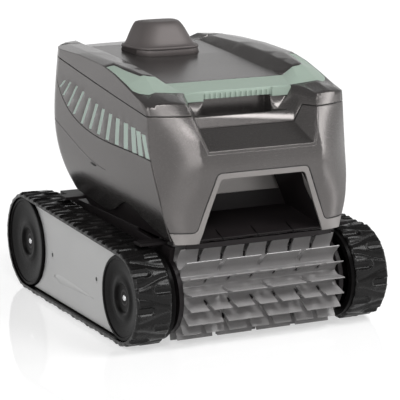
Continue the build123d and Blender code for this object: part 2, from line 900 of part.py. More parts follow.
with BuildPart() as side_panel_left:
    add(shell.part)
    prism_x(below_seam, -reach, reach, Mode.INTERSECT)
    curve_prism(shifted(crease, fit_gap - seam_half, 0), rear_corners, -reach, reach, Mode.INTERSECT)
    add(lid_opening.part, mode=Mode.SUBTRACT)
    panel_cut = shifted(panel_seam, -seam_half / 2, seam_half)
    panel_corners = [(panel_cut[-1][0], hull_top_z), (panel_cut[0][0], hull_top_z)]
    curve_prism(panel_cut, panel_corners, -panel_edge_x - skin, -reach, Mode.INTERSECT)
    add(recess_outer.part, mode=Mode.SUBTRACT)
    add(stripe_pockets.part, mode=Mode.SUBTRACT)
finish(side_panel_left, "side_panel_left")

with BuildPart() as side_panel_right:
    mirror(side_panel_left.part, about=Plane.YZ)
finish(side_panel_right, "side_panel_right")

with BuildPart() as stripe_inlays_left:
    stripe_prisms(0.0)
    add(hull.part, mode=Mode.INTERSECT)
    add(stripe_floor.part, mode=Mode.SUBTRACT)
finish(stripe_inlays_left, "stripe_inlays_left")

with BuildPart() as stripe_inlays_right:
    mirror(stripe_inlays_left.part, about=Plane.YZ)
finish(stripe_inlays_right, "stripe_inlays_right")

# Base tray with its skirt, deck and suction duct

deck_z = foot_z - deck_thickness
tray_inner = tray_half - tray_wall
inlet_rear_y = inlet_front_y + inlet_length
brush_axis_offset = ring_module * (brush_ring_teeth - brush_pinion_teeth) / 2
brush_y = front_axle_y + brush_axis_offset * math.cos(math.radians(brush_axis_angle))
brush_z = front_axle_z + brush_axis_offset * math.sin(math.radians(brush_axis_angle))
gear_distance = gear_module * (drive_teeth + pinion_teeth) / 2
pinion_y = rear_axle_y + gear_distance * math.cos(math.radians(pinion_angle))
pinion_z = rear_axle_z + gear_distance * math.sin(math.radians(pinion_angle))
bush_r = axle_r + bush_wall

with BuildPart() as skirt_inner:
    hull_loft(2 * skin + skirt_gap)

with BuildPart() as skirt:
    hull_loft(skin + skirt_gap)
    add(skirt_inner.part, mode=Mode.SUBTRACT)
    prism_x(rectangle(skirt_front_y, tail_y, foot_z - wall, skirt_top_z), -reach, reach, Mode.INTERSECT)
    skirt_front = rectangle(nose_y, tray_front_y, foot_z - wall, hull_top_z)
    prism_x(skirt_front, -skirt_front_half, skirt_front_half, Mode.SUBTRACT)

with BuildPart() as base_tray:
    tub_side = [
        (tray_front_y, tray_floor_z),
        (tray_rear_y - tray_edge, tray_floor_z),
        (tray_rear_y, tray_floor_z + tray_edge),
        (tray_rear_y, foot_z),
        (tray_front_y, foot_z),
    ]
    prism_x(tub_side, -tray_half, tray_half)
    tub_inside = [
        (tray_front_y + tray_wall, tray_floor_z + tray_wall),
        (tray_rear_y - tray_edge - tray_wall / 2, tray_floor_z + tray_wall),
        (tray_rear_y - tray_wall, tray_floor_z + tray_edge + tray_wall / 2),
        (tray_rear_y - tray_wall, deck_z),
        (tray_front_y + tray_wall, deck_z),
    ]
    prism_x(tub_inside, -tray_inner, tray_inner, Mode.SUBTRACT)
    add(skirt.part)
    inlet = rectangle(-inlet_half, inlet_half, inlet_front_y, inlet_rear_y)
    prism_z(inlet, tray_floor_z, foot_z)
    way_half = inlet_half - duct_wall
    inlet_way = rectangle(-way_half, way_half, inlet_front_y + duct_wall, inlet_rear_y - duct_wall)
    prism_z(inlet_way, tray_floor_z, foot_z, Mode.SUBTRACT)
    disc_z(deck_z, foot_z, housing_r + fit_gap, Mode.SUBTRACT)
    for side in (-1, 1):
        tab_top_z = rear_tab_z + tab_thickness
        tab = rectangle(rear_tab_y - tab_half, rear_tab_y + tab_half, rear_tab_z, tab_top_z)
        prism_x(tab, side * tray_half, side * tab_outer_x)
        disc_x(side * tray_inner, side * tray_half, rear_axle_y, rear_axle_z, bush_r + fit_gap, Mode.SUBTRACT)
        disc_x(side * tray_inner, side * tray_half, pinion_y, pinion_z, pinion_shaft_r + fit_gap, Mode.SUBTRACT)
finish(base_tray, "base_tray")

# Brush cheeks and axle bushes

cheek_inner_x = brush_half_length + cheek_gap
core_bore = sleeve_r - sleeve_wall - core_wall
collar_r = core_bore - fit_gap
for side, side_name in ((-1, "left"), (1, "right")):
    with BuildPart() as brush_cheek:
        disc_x(side * cheek_inner_x, side * tray_half, front_axle_y, front_axle_z, cheek_r)
        arm = [
            (front_axle_y, front_axle_z - cheek_r / 2),
            (tray_front_y, tray_floor_z),
            (tray_front_y, deck_z),
            (front_axle_y + cheek_r / 2, cheek_top_z),
            (front_axle_y - cheek_r / 2, cheek_top_z),
        ]
        prism_x(arm, side * cheek_inner_x, side * tray_half)
        tab_top_z = cheek_top_z + tab_thickness
        tab = rectangle(front_tab_y - tab_half, front_tab_y + tab_half, cheek_top_z, tab_top_z)
        prism_x(tab, side * cheek_inner_x, side * tab_outer_x)
        disc_x(side * (cheek_inner_x - collar_length), side * cheek_inner_x, brush_y, brush_z, collar_r)
        disc_x(side * (cheek_inner_x - collar_length), side * cheek_inner_x, brush_y, brush_z,
               collar_r - collar_wall, Mode.SUBTRACT)
        disc_x(side * cheek_inner_x, side * tray_half, front_axle_y, front_axle_z, bush_r + fit_gap,
               Mode.SUBTRACT)
    finish(brush_cheek, f"brush_cheek_{side_name}")

bush_outer_x = tray_half + 2 * gear_side_gap
with BuildPart() as axle_bushes:
    for axle_y, axle_z in ((front_axle_y, front_axle_z), (rear_axle_y, rear_axle_z)):
        for side in (-1, 1):
            inner, outer = side * (bush_outer_x - bush_length), side * bush_outer_x
            disc_x(inner, outer, axle_y, axle_z, bush_r)
            disc_x(inner, outer, axle_y, axle_z, axle_r + fit_gap, Mode.SUBTRACT)
finish(axle_bushes, "axle_bushes")

# Wheels on their axles

brush_gear_x = cheek_inner_x - collar_length - gear_side_gap
brush_axle_x = brush_gear_x - brush_gear_width - gear_side_gap
centre_x = wheel_outer_x - centre_depth
wheels = (
    ("front_left", -1, front_axle_y, front_axle_z, front_wheel_r, brush_axle_x),
    ("front_right", 1, front_axle_y, front_axle_z, front_wheel_r, axle_inner_x),
    ("rear_left", -1, rear_axle_y, rear_axle_z, rear_wheel_r, axle_inner_x),
    ("rear_right", 1, rear_axle_y, rear_axle_z, rear_wheel_r, axle_inner_x),
)


def wheel_section(radius):
    """Half section of a dished wheel, as distance out from the middle and radius."""
    dish_x = wheel_outer_x - dish_depth
    rim_r = radius - rim_wall
    bore = axle_r + fit_gap
    return [
        (flange_inner_x, bore),
        (centre_x, bore),
        (centre_x, centre_r),
        (dish_x, centre_r),
        (wheel_outer_x - wheel_inset, rim_r),
        (wheel_outer_x, rim_r + rim_lip),
        (wheel_outer_x, radius - rim_bevel),
        (wheel_outer_x - rim_bevel, radius),
        (flange_outer_x, radius),
        (flange_outer_x, radius + flange_rise),
        (flange_inner_x, radius + flange_rise),
        (flange_inner_x, rim_r),
        (wheel_outer_x - wheel_inset - disc_wall, rim_r),
        (centre_x - rim_bevel, hub_r),
        (flange_inner_x, hub_r),
    ]


for wheel_name, side, axle_y, axle_z, radius, inner_x in wheels:
    with BuildPart() as wheel:
        turn_x([(side * x, r) for x, r in wheel_section(radius)], axle_y, axle_z)
    finish(wheel, f"{wheel_name}_wheel")

    with BuildPart() as axle:
        disc_x(side * inner_x, side * centre_x, axle_y, axle_z, axle_r)
        disc_x(side * centre_x, side * (centre_x + axle_head), axle_y, axle_z, axle_head_r)
    finish(axle, f"{wheel_name}_axle")

# Belts, track frames and side plates

front_hub = Vector(front_axle_y, front_axle_z)
rear_hub = Vector(rear_axle_y, rear_axle_z)
hub_line = rear_hub - front_hub
hub_angle = math.atan2(hub_line.Y, hub_line.X)
tangent_swing = math.acos((front_wheel_r - rear_wheel_r) / hub_line.length)
tangent_length = math.sqrt(hub_line.length**2 - (front_wheel_r - rear_wheel_r) ** 2)
upper_angle = hub_angle + tangent_swing
lower_angle = hub_angle - tangent_swing


def around(hub, radius, angle):
    """Point on a circle about a wheel centre, in side view."""
    return (hub.X + radius * math.cos(angle), hub.Y + radius * math.sin(angle))


def track_face(grow, x, wheel_gap=None):
    """Face inside the line round both wheels, grown from the rims, less the wheels if a gap is given."""
    front_r = front_wheel_r + grow
    rear_r = rear_wheel_r + grow
    front_low = around(front_hub, front_r, lower_angle)
    rear_low = around(rear_hub, rear_r, lower_angle)
    front_high = around(front_hub, front_r, upper_angle)
    rear_high = around(rear_hub, rear_r, upper_angle)
    with BuildSketch(Plane.YZ.offset(x)) as section:
        with BuildLine():
            Line(front_low, rear_low)
            ThreePointArc(rear_low, around(rear_hub, rear_r, hub_angle), rear_high)
            Line(rear_high, front_high)
            ThreePointArc(front_high, around(front_hub, front_r, hub_angle + math.pi), front_low)
        make_face()
        if wheel_gap is not None:
            with Locations((front_axle_y, front_axle_z)):
                Circle(front_wheel_r + wheel_gap, mode=Mode.SUBTRACT)
            with Locations((rear_axle_y, rear_axle_z)):
                Circle(rear_wheel_r + wheel_gap, mode=Mode.SUBTRACT)
    return section.sketch


def track_plane(grow, share):
    """Plane on the line round both wheels at a share of its length, facing out, with X across the belt."""
    front_r = front_wheel_r + grow
    rear_r = rear_wheel_r + grow
    rear_arc = rear_r * (upper_angle - lower_angle)
    front_arc = front_r * (2 * math.pi - upper_angle + lower_angle)
    at = share * (2 * tangent_length + rear_arc + front_arc)
    if at < tangent_length:
        angle = lower_angle
        start = around(front_hub, front_r, angle)
        point = (start[0] - at * math.sin(angle), start[1] + at * math.cos(angle))
    elif at < tangent_length + rear_arc:
        angle = lower_angle + (at - tangent_length) / rear_r
        point = around(rear_hub, rear_r, angle)
    elif at < 2 * tangent_length + rear_arc:
        along = at - tangent_length - rear_arc
        angle = upper_angle
        start = around(rear_hub, rear_r, angle)
        point = (start[0] - along * math.sin(angle), start[1] + along * math.cos(angle))
    else:
        angle = upper_angle + (at - 2 * tangent_length - rear_arc) / front_r
        point = around(front_hub, front_r, angle)
    normal = (0, math.cos(angle), math.sin(angle))
    return Plane(origin=(0, point[0], point[1]), x_dir=(1, 0, 0), z_dir=normal)


def tread_cut(first, centre_x):
    """Cut every second tread slot, open to one edge of the belt."""
    planes = [track_plane(belt_gap + belt_band, index / tread_slots) for index in range(first, tread_slots, 2)]
    with BuildSketch(*planes) as slots:
        with Locations((centre_x, 0)):
            SlotOverall(slot_reach + slot_width, slot_width)
    extrude(slots.sketch, amount=2 * tread_depth, mode=Mode.SUBTRACT)


slot_shift = (slot_reach - slot_width) / 2
with BuildPart() as belt_right:
    extrude(track_face(belt_thickness, belt_inner_x), amount=belt_width)
    extrude(track_face(belt_gap, belt_inner_x), amount=belt_width, mode=Mode.SUBTRACT)
    tread_cut(0, belt_outer_x - slot_shift)
    tread_cut(1, belt_inner_x + slot_shift)
finish(belt_right, "belt_right")

with BuildPart() as belt_left:
    mirror(belt_right.part, about=Plane.YZ)
finish(belt_left, "belt_left")

frame_outer_x = wheel_outer_x - dish_depth
plate_inner_x = frame_outer_x
plate_outer_x = plate_inner_x + plate_thickness
screw_places = (front_axle_y + front_screw_from_axle, rear_axle_y - rear_screw_from_axle)


def between_wheels(inset, gap, x_from, x_to, mode=Mode.ADD):
    """Extrude the area inside the belt and between the wheels."""
    return extrude(track_face(-inset, x_from, gap), amount=x_to - x_from, mode=mode)


for side, side_name in ((-1, "left"), (1, "right")):
    frame_inner_x = side * (tray_half + fit_gap)
    with BuildPart() as track_frame:
        between_wheels(frame_inset, frame_gap, frame_inner_x, side * frame_outer_x)
        between_wheels(frame_inset + frame_wall, frame_gap + frame_wall, frame_inner_x + side * frame_wall,
                       side * frame_outer_x, Mode.SUBTRACT)
        for screw_y in screw_places:
            disc_x(frame_inner_x, side * frame_outer_x, screw_y, plate_screw_z, plate_screw_head_r)
            disc_x(side * (frame_outer_x - plate_screw_length), side * frame_outer_x, screw_y, plate_screw_z,
                   plate_screw_r + fit_gap, Mode.SUBTRACT)
    finish(track_frame, f"track_frame_{side_name}")

    with BuildPart() as side_plate:
        between_wheels(plate_inset, plate_gap, side * plate_inner_x, side * plate_outer_x)
        for screw_y in screw_places:
            disc_x(side * plate_inner_x, side * plate_outer_x, screw_y, plate_screw_z, plate_screw_r + fit_gap,
                   Mode.SUBTRACT)
    finish(side_plate, f"side_plate_{side_name}")

with BuildPart() as side_plate_screws:
    for side in (-1, 1):
        for screw_y in screw_places:
            tip_x, head_x = frame_outer_x - plate_screw_length, plate_outer_x + plate_screw_head
            disc_x(side * tip_x, side * plate_outer_x, screw_y, plate_screw_z, plate_screw_r)
            disc_x(side * plate_outer_x, side * head_x, screw_y, plate_screw_z, plate_screw_head_r)
finish(side_plate_screws, "side_plate_screws")

# Gears, traction motors and brush


def involute(angle):
    """Involute of an angle in radians."""
    return math.tan(angle) - angle


def gear_points(y, z, module, teeth, addendum, root_depth, share, phase):
    """Outline of an involute gear about a point in side view, with a tooth centred on the angle phase."""
    pitch_r = module * teeth / 2
    base_r = pitch_r * math.cos(math.radians(pressure_angle))
    root_r = pitch_r - root_depth * module
    tip_r = pitch_r + addendum * module
    start_r = max(root_r, base_r)
    flank = [(root_r, start_r)] if root_r < start_r else []
    for step in range(flank_steps + 1):
        radius = start_r + (tip_r - start_r) * step / flank_steps
        flank.append((radius, radius))
    pitch_half = share * math.pi / teeth + involute(math.radians(pressure_angle))
    points = []
    for tooth in range(teeth):
        middle = math.radians(phase) + 2 * math.pi * tooth / teeth
        swings = [(radius, pitch_half - involute(math.acos(base_r / on_r))) for radius, on_r in flank]
        points += [(radius, middle - swing) for radius, swing in swings]
        points += [(radius, middle + swing) for radius, swing in reversed(swings)]
    return [(y + radius * math.cos(angle), z + radius * math.sin(angle)) for radius, angle in points]


gear_inner_x = bush_outer_x + gear_side_gap
gear_outer_x = gear_inner_x + drive_gear_width
drive_phase = pinion_angle + 180.0 / drive_teeth
motor_inner_x = tray_inner - traction_length
shaft_inner_x = gear_outer_x - pinion_shaft_length
for side, side_name in ((-1, "left"), (1, "right")):
    with BuildPart() as drive_gear:
        teeth_outline = gear_points(rear_axle_y, rear_axle_z, gear_module, drive_teeth, gear_addendum, dedendum,
                                    tooth_share, drive_phase)
        prism_x(teeth_outline, side * gear_inner_x, side * gear_outer_x)
        disc_x(side * gear_inner_x, side * gear_outer_x, rear_axle_y, rear_axle_z, axle_r + fit_gap,
               Mode.SUBTRACT)
    finish(drive_gear, f"drive_gear_{side_name}")

    with BuildPart() as motor_pinion:
        teeth_outline = gear_points(pinion_y, pinion_z, gear_module, pinion_teeth, pinion_addendum, dedendum,
                                    tooth_share, pinion_angle + 180.0)
        prism_x(teeth_outline, side * gear_inner_x, side * gear_outer_x)
        disc_x(side * shaft_inner_x, side * gear_inner_x, pinion_y, pinion_z, pinion_shaft_r)
    finish(motor_pinion, f"motor_pinion_{side_name}")

    with BuildPart() as traction_motor:
        disc_x(side * motor_inner_x, side * tray_inner, pinion_y, pinion_z, traction_r)
        disc_x(side * (shaft_inner_x - gear_side_gap), side * tray_inner, pinion_y, pinion_z,
               pinion_shaft_r + fit_gap, Mode.SUBTRACT)
    finish(traction_motor, f"traction_motor_{side_name}")

mesh_angle = brush_axis_angle + 180.0
with BuildPart() as brush_pinion:
    teeth_outline = gear_points(front_axle_y, front_axle_z, ring_module, brush_pinion_teeth, ring_root, dedendum,
                                tooth_share, mesh_angle)
    prism_x(teeth_outline, -brush_gear_x, gear_side_gap / 2 - brush_gear_x + brush_gear_width)
    disc_x(-brush_gear_x, brush_gear_width - brush_gear_x + gear_side_gap, front_axle_y, front_axle_z,
           axle_r + fit_gap, Mode.SUBTRACT)
finish(brush_pinion, "brush_pinion")

with BuildPart() as brush_ring_gear:
    disc_x(-brush_gear_x, brush_gear_width - brush_gear_x, brush_y, brush_z, core_bore - fit_gap)
    space_outline = gear_points(brush_y, brush_z, ring_module, brush_ring_teeth, dedendum, ring_root,
                                ring_space_share, mesh_angle)
    prism_x(space_outline, -brush_gear_x, brush_gear_width - brush_gear_x, Mode.SUBTRACT)
finish(brush_ring_gear, "brush_ring_gear")

core_r = core_bore + core_wall
with BuildPart() as brush_core:
    disc_x(-brush_half_length, brush_half_length, brush_y, brush_z, core_r)
    disc_x(-brush_half_length, brush_half_length, brush_y, brush_z, core_bore, Mode.SUBTRACT)
finish(brush_core, "brush_core")


def blade_row(first, count):
    """Stand every second row of blades on the sleeve, each row cut into a number of blades."""
    planes = []
    for index in range(first, brush_rows, 2):
        angle = math.radians(brush_first_row + 360.0 / brush_rows * index)
        facing = (0, -math.sin(angle), math.cos(angle))
        planes.append(Plane(origin=(0, brush_y, brush_z), x_dir=(1, 0, 0), z_dir=facing))
    width = (2 * brush_half_length - (count - 1) * blade_gap) / count
    root = sleeve_r - blade_root
    with BuildSketch(*planes) as row:
        for index in range(count):
            left = -brush_half_length + index * (width + blade_gap)
            right = left + width
            with BuildLine():
                tip_corners = (right - blade_slant, brush_tip_r), (left + blade_slant, brush_tip_r)
                Polyline((left, root), (right, root), *tip_corners, close=True)
            make_face()
    extrude(row.sketch, amount=blade_thickness / 2, both=True)


with BuildPart() as brush_blades:
    disc_x(-brush_half_length, brush_half_length, brush_y, brush_z, sleeve_r)
    disc_x(-brush_half_length, brush_half_length, brush_y, brush_z, core_r + fit_gap, Mode.SUBTRACT)
    blade_row(0, wide_row_blades)
    blade_row(1, narrow_row_blades)
finish(brush_blades, "brush_blades")

# Filter basket with its cover, mesh and flap

basket_floor_z = foot_z + fit_gap
window_low = basket_floor_z + window_rib
window_high = basket_top_z - window_rib


def basket_block(inset, z_from, z_to, mode=Mode.ADD):
    """Extrude the plan of the basket, inset from its outer face."""
    plan = rectangle(-basket_half + inset, basket_half - inset, basket_front_y + inset, basket_rear_y - inset)
    face = rounded(plan, Plane.XY.offset(z_from), basket_corner_r - inset)
    return extrude(face, amount=z_to - z_from, mode=mode)


def spans(start, end, count, rib):
    """Split a length into equal windows with a rib before, between and after them."""
    width = (end - start - rib * (count + 1)) / count
    starts = [start + rib + index * (width + rib) for index in range(count)]
    return [(low, low + width) for low in starts]


with BuildPart() as filter_basket:
    basket_block(0.0, basket_floor_z, basket_top_z)
    basket_block(basket_wall, basket_floor_z + basket_wall, basket_top_z, Mode.SUBTRACT)
    prism_z(inlet_way, basket_floor_z, basket_floor_z + basket_wall, Mode.SUBTRACT)
    for low, high in spans(basket_front_y, basket_rear_y, window_count, window_rib):
        prism_x(rectangle(low, high, window_low, window_high), -reach, reach, Mode.SUBTRACT)
    for low, high in spans(-basket_half, basket_half, window_count, window_rib):
        prism_y(rectangle(low, high, window_low, window_high), basket_front_y, basket_rear_y, Mode.SUBTRACT)
    flap_y = inlet_rear_y + flap_overlap
    flap_z = basket_floor_z + basket_wall + flap_pin_r + flap_lift / 2
    for side in (-1, 1):
        lug_top_z = flap_z + flap_lug / 2
        lug = rectangle(flap_y - flap_lug / 2, flap_y + flap_lug / 2, basket_floor_z + basket_wall, lug_top_z)
        prism_x(lug, side * inlet_half, side * (inlet_half + flap_lug))
        disc_x(side * inlet_half, side * (inlet_half + flap_lug), flap_y, flap_z, flap_pin_r + fit_gap,
               Mode.SUBTRACT)
finish(filter_basket, "filter_basket")

with BuildPart() as filter_mesh:
    basket_block(basket_wall + fit_gap, window_low - window_rib / 2, window_high + window_rib / 2)
    inset = basket_wall + mesh_thickness
    basket_block(inset, window_low - window_rib / 2, window_high + window_rib / 2, Mode.SUBTRACT)
finish(filter_mesh, "filter_mesh")

with BuildPart() as filter_cover:
    basket_block(0.0, basket_top_z + fit_gap, basket_top_z + cover_rim)
    basket_block(basket_wall + fit_gap, basket_top_z - cover_rim, basket_top_z + fit_gap)
    basket_block(2 * basket_wall, basket_top_z - cover_rim, basket_top_z, Mode.SUBTRACT)
finish(filter_cover, "filter_cover")

with BuildPart() as inlet_flap:
    plate = rectangle(inlet_front_y, flap_y, flap_z - flap_thickness / 2, flap_z + flap_thickness / 2)
    prism_x(plate, -inlet_half + flap_side_gap, inlet_half - flap_side_gap)
    disc_x(-inlet_half - flap_lug, inlet_half + flap_lug, flap_y, flap_z, flap_pin_r)
finish(inlet_flap, "inlet_flap")

# Pump, propeller and its duct

tub_floor_z = tray_floor_z + tray_wall
cover_z = housing_top_z + seal_thickness
with BuildPart() as motor_housing:
    disc_z(tub_floor_z, housing_top_z, housing_r)
    disc_z(tub_floor_z + housing_wall, housing_top_z, housing_r - housing_wall, Mode.SUBTRACT)
finish(motor_housing, "motor_housing")

with BuildPart() as pump_motor:
    disc_z(tub_floor_z + housing_wall, pump_top_z, pump_r)
    disc_z(shaft_bottom_z - gear_side_gap, pump_top_z, shaft_r + fit_gap, Mode.SUBTRACT)
finish(pump_motor, "pump_motor")

with BuildPart() as housing_seal:
    disc_z(housing_top_z, cover_z, housing_r)
    disc_z(housing_top_z, cover_z, housing_r - housing_wall, Mode.SUBTRACT)
finish(housing_seal, "housing_seal")

with BuildPart() as housing_cover:
    disc_z(cover_z, cover_z + cover_thickness, cover_r)
    disc_z(cover_z, cover_z + cover_thickness, shaft_r + fit_gap, Mode.SUBTRACT)
finish(housing_cover, "housing_cover")

with BuildPart() as propeller:
    disc_z(shaft_bottom_z, propeller_z, shaft_r)
    disc_z(propeller_z - propeller_hub / 2, propeller_z + propeller_hub / 2, propeller_hub_r)
    blade_length = propeller_r - propeller_hub_r + propeller_blade_wall
    with Locations((0, outlet_y, propeller_z)):
        with PolarLocations(propeller_r - blade_length / 2, propeller_blades):
            Box(blade_length, propeller_blade, propeller_blade_wall, rotation=(propeller_pitch, 0, 0))
finish(propeller, "propeller")

duct_r = propeller_r + duct_gap
with BuildPart() as propeller_duct:
    with BuildSketch(Plane(origin=(0, outlet_y, cover_z + cover_thickness))) as posts:
        with PolarLocations(duct_r, duct_posts):
            Rectangle(duct_post_depth, duct_post_width)
    extrude(posts.sketch, amount=duct_top_z - cover_z - cover_thickness)
    disc_z(duct_bottom_z, duct_top_z, duct_r + duct_ring)
    with BuildSketch(Plane(origin=(0, outlet_y, cover_z + cover_thickness))) as ring:
        Circle(duct_r + duct_ring)
        Circle(duct_r, mode=Mode.SUBTRACT)
    extrude(ring.sketch, amount=duct_top_z - cover_z - cover_thickness, mode=Mode.INTERSECT)
finish(propeller_duct, "propeller_duct")

# Cable gland

with BuildPart() as cable_gland:
    for radius, y_from, y_to, mode in (
        (gland_r, tail_y + gland_seat, tail_y + gland_flange, Mode.ADD),
        (gland_thread_r, tail_y - gland_thread, tail_y + gland_seat, Mode.ADD),
        (gland_bore_r, tail_y - gland_thread, tail_y + gland_flange, Mode.SUBTRACT),
    ):
        with BuildSketch(Plane.XZ.offset(-y_to)) as section:
            with Locations((0, gland_z)):
                Circle(radius)
        extrude(section.sketch, amount=y_to - y_from, mode=mode)
finish(cable_gland, "cable_gland")
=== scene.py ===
import math

import bmesh
import bpy
from mathutils import Matrix, Vector
from mathutils.bvhtree import BVHTree


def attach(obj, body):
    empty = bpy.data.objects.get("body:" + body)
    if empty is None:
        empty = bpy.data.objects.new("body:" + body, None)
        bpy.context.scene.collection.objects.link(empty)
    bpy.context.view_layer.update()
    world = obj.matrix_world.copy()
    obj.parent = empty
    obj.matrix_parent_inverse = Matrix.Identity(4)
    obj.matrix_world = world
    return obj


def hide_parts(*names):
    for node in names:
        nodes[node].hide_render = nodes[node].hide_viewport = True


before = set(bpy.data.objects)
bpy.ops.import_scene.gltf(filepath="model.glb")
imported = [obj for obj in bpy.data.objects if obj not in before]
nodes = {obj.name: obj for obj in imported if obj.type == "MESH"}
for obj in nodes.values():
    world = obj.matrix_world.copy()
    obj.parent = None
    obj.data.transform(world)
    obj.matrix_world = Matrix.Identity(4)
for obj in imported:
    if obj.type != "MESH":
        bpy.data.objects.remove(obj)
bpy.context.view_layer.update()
MM = 0.001


def colour(code):
    """sRGB hex to the linear colour that a shader takes."""
    channels = [int(code[i:i + 2], 16) / 255 for i in (1, 3, 5)]
    return [c / 12.92 if c <= 0.04045 else ((c + 0.055) / 1.055) ** 2.4 for c in channels] + [1.0]


def add(tree, kind, inputs=(), **settings):
    """One shader node with its settings; each input is a value or another node's output."""
    made = tree.nodes.new(kind)
    for name, value in settings.items():
        setattr(made, name, value)
    for name, value in dict(inputs).items():
        if isinstance(value, bpy.types.NodeSocket):
            tree.links.new(value, made.inputs[name])
        else:
            made.inputs[name].default_value = value
    return made


def blank(name):
    """An empty material with its shader, its output and the place on the object."""
    made = bpy.data.materials.new(name)
    made.use_nodes = True
    tree = made.node_tree
    tree.nodes.clear()
    shader = add(tree, "ShaderNodeBsdfPrincipled")
    output = add(tree, "ShaderNodeOutputMaterial")
    tree.links.new(shader.outputs["BSDF"], output.inputs["Surface"])
    place = add(tree, "ShaderNodeTexCoord").outputs["Object"]
    return made, tree, shader, place


def per_mm(size):
    """Texture scale that gives a feature of this size in millimetres, on coordinates in metres."""
    return 1.0 / (size * MM)


roughness_swing = 0.04
grain_low, grain_high = 0.3, 0.7


def moulded(name, low, high, cloud_mm, grain_mm, grain_depth_mm, roughness, edge_mm,
            metallic=0.0, specular=0.5):
    """Moulded plastic: two close tones in soft clouds, a fine grain and rounded edges that catch light."""
    made, tree, shader, place = blank(name)
    cloud = add(tree, "ShaderNodeTexNoise", {"Vector": place, "Scale": per_mm(cloud_mm), "Detail": 3.0})
    tone = add(tree, "ShaderNodeMix", {"Factor": cloud.outputs["Fac"]}, data_type="RGBA")
    tone.inputs["A"].default_value = colour(low)
    tone.inputs["B"].default_value = colour(high)
    tree.links.new(tone.outputs["Result"], shader.inputs["Base Color"])
    grain = add(tree, "ShaderNodeTexNoise", {"Vector": place, "Scale": per_mm(grain_mm), "Detail": 2.0})
    gloss = add(tree, "ShaderNodeMapRange", {
        "Value": grain.outputs["Fac"], "From Min": grain_low, "From Max": grain_high,
        "To Min": roughness - roughness_swing, "To Max": roughness + roughness_swing})
    tree.links.new(gloss.outputs["Result"], shader.inputs["Roughness"])
    edge = add(tree, "ShaderNodeBevel", {"Radius": edge_mm * MM}, samples=6)
    bump = add(tree, "ShaderNodeBump", {"Height": grain.outputs["Fac"], "Distance": grain_depth_mm * MM,
                                        "Strength": 0.5, "Normal": edge.outputs["Normal"]})
    tree.links.new(bump.outputs["Normal"], shader.inputs["Normal"])
    shader.inputs["Metallic"].default_value = metallic
    shader.inputs["Specular IOR Level"].default_value = specular
    return made


# Metallic paint over moulded ABS: dark warm grey with fine flake, satin gloss and bright moulded edges
painted_abs = moulded("painted_abs", "#5c5958", "#646160", 60.0, 0.5, 0.004, 0.24, 1.4, metallic=0.8)
# The same paint with a duller finish on the outlet hood, which shows an even tone
satin_painted_abs = moulded("satin_painted_abs", "#5e5958", "#66605f", 60.0, 0.5, 0.006, 0.52, 1.2,
                            metallic=0.35)
# The same paint in a lighter grey on the mouth frame; the same pale grey also paints light on the mouth's
# back band and on the pads on its side walls
pale_paint_and_painted_light = moulded("pale_paint_and_painted_light", "#878381", "#918d8b", 40.0, 0.5, 0.006, 0.34, 1.0,
                           metallic=0.35)
# Through-coloured ABS, grey green, with the slight mottling of a satin mould
green_abs = moulded("green_abs", "#9aaa9e", "#a3b2a7", 35.0, 0.6, 0.01, 0.42, 0.9, specular=0.35)
# Paler green inlay strips of the same stock
stripe_abs = moulded("stripe_abs", "#b3c5bb", "#bdcdc4", 20.0, 0.6, 0.01, 0.45, 0.4)
# Black polypropylene with a spark-eroded grain that keeps it dull
black_polypropylene = moulded("black_polypropylene", "#191617", "#211d1e", 25.0, 0.8, 0.03, 0.46, 0.8,
                              specular=0.2)
# Black ABS from a polished mould, deep black with soft highlights, on the wheel discs; on the ramp ribs the
# same near-black paints the shade of the ramp's slots
gloss_black_and_slot_shade = moulded("gloss_black_and_slot_shade", "#0c0b0b", "#100f0f", 40.0, 1.2, 0.004, 0.30, 0.8,
                          specular=0.04)
# Nitrile rubber belt, black with a slightly oily sheen
nitrile_rubber = moulded("nitrile_rubber", "#0e0d0d", "#141313", 18.0, 0.9, 0.01, 0.27, 0.5, specular=0.22)
# Soft black seal rubber; the same black also paints the shade in the groove round the mouth frame and in the
# scoop slots
seal_rubber = moulded("seal_rubber", "#141313", "#1a1919", 10.0, 0.7, 0.03, 0.6, 0.3)
# Silver paint on the flat side plates, satin
silver_painted_abs = moulded("silver_painted_abs", "#b6b6b6", "#bebebd", 70.0, 0.5, 0.006, 0.36, 0.8,
                             metallic=0.3)
# Grey thermoplastic rubber of the brush blades, dull, with faint flow marks
brush_rubber = moulded("brush_rubber", "#939191", "#9f9d9d", 12.0, 0.7, 0.01, 0.30, 0.3, specular=0.5)
# Stainless steel, turned and bright
stainless_steel = moulded("stainless_steel", "#c6c6c8", "#d2d2d3", 6.0, 0.3, 0.002, 0.22, 0.3, metallic=1.0)
# Near-black steel: painted shade in the screw recesses of the side plates; the screw solids that the new
# heads hide carry it too
recess_shade_steel = moulded("recess_shade_steel", "#1d1d1e", "#2a2a2b", 3.0, 0.3, 0.004, 0.4, 0.3, metallic=0.8)
# Natural acetal, off white and waxy
natural_acetal = moulded("natural_acetal", "#dcd9d0", "#e4e1d8", 12.0, 0.6, 0.004, 0.38, 0.2)
# Sintered bronze, porous
sintered_bronze = moulded("sintered_bronze", "#8a6a3c", "#9c7a48", 3.0, 0.25, 0.01, 0.42, 0.2, metallic=1.0)
# Motor cans, grey enamel on steel
motor_enamel = moulded("motor_enamel", "#55585a", "#5f6264", 20.0, 0.8, 0.01, 0.36, 0.6, metallic=0.3)
# Filter frame, grey green polypropylene
filter_polypropylene = moulded("filter_polypropylene", "#9aa7a0", "#a6b2ab", 25.0, 0.8, 0.02, 0.5, 0.6)


thread_mm, waves_per_unit = 1.2, 20.0


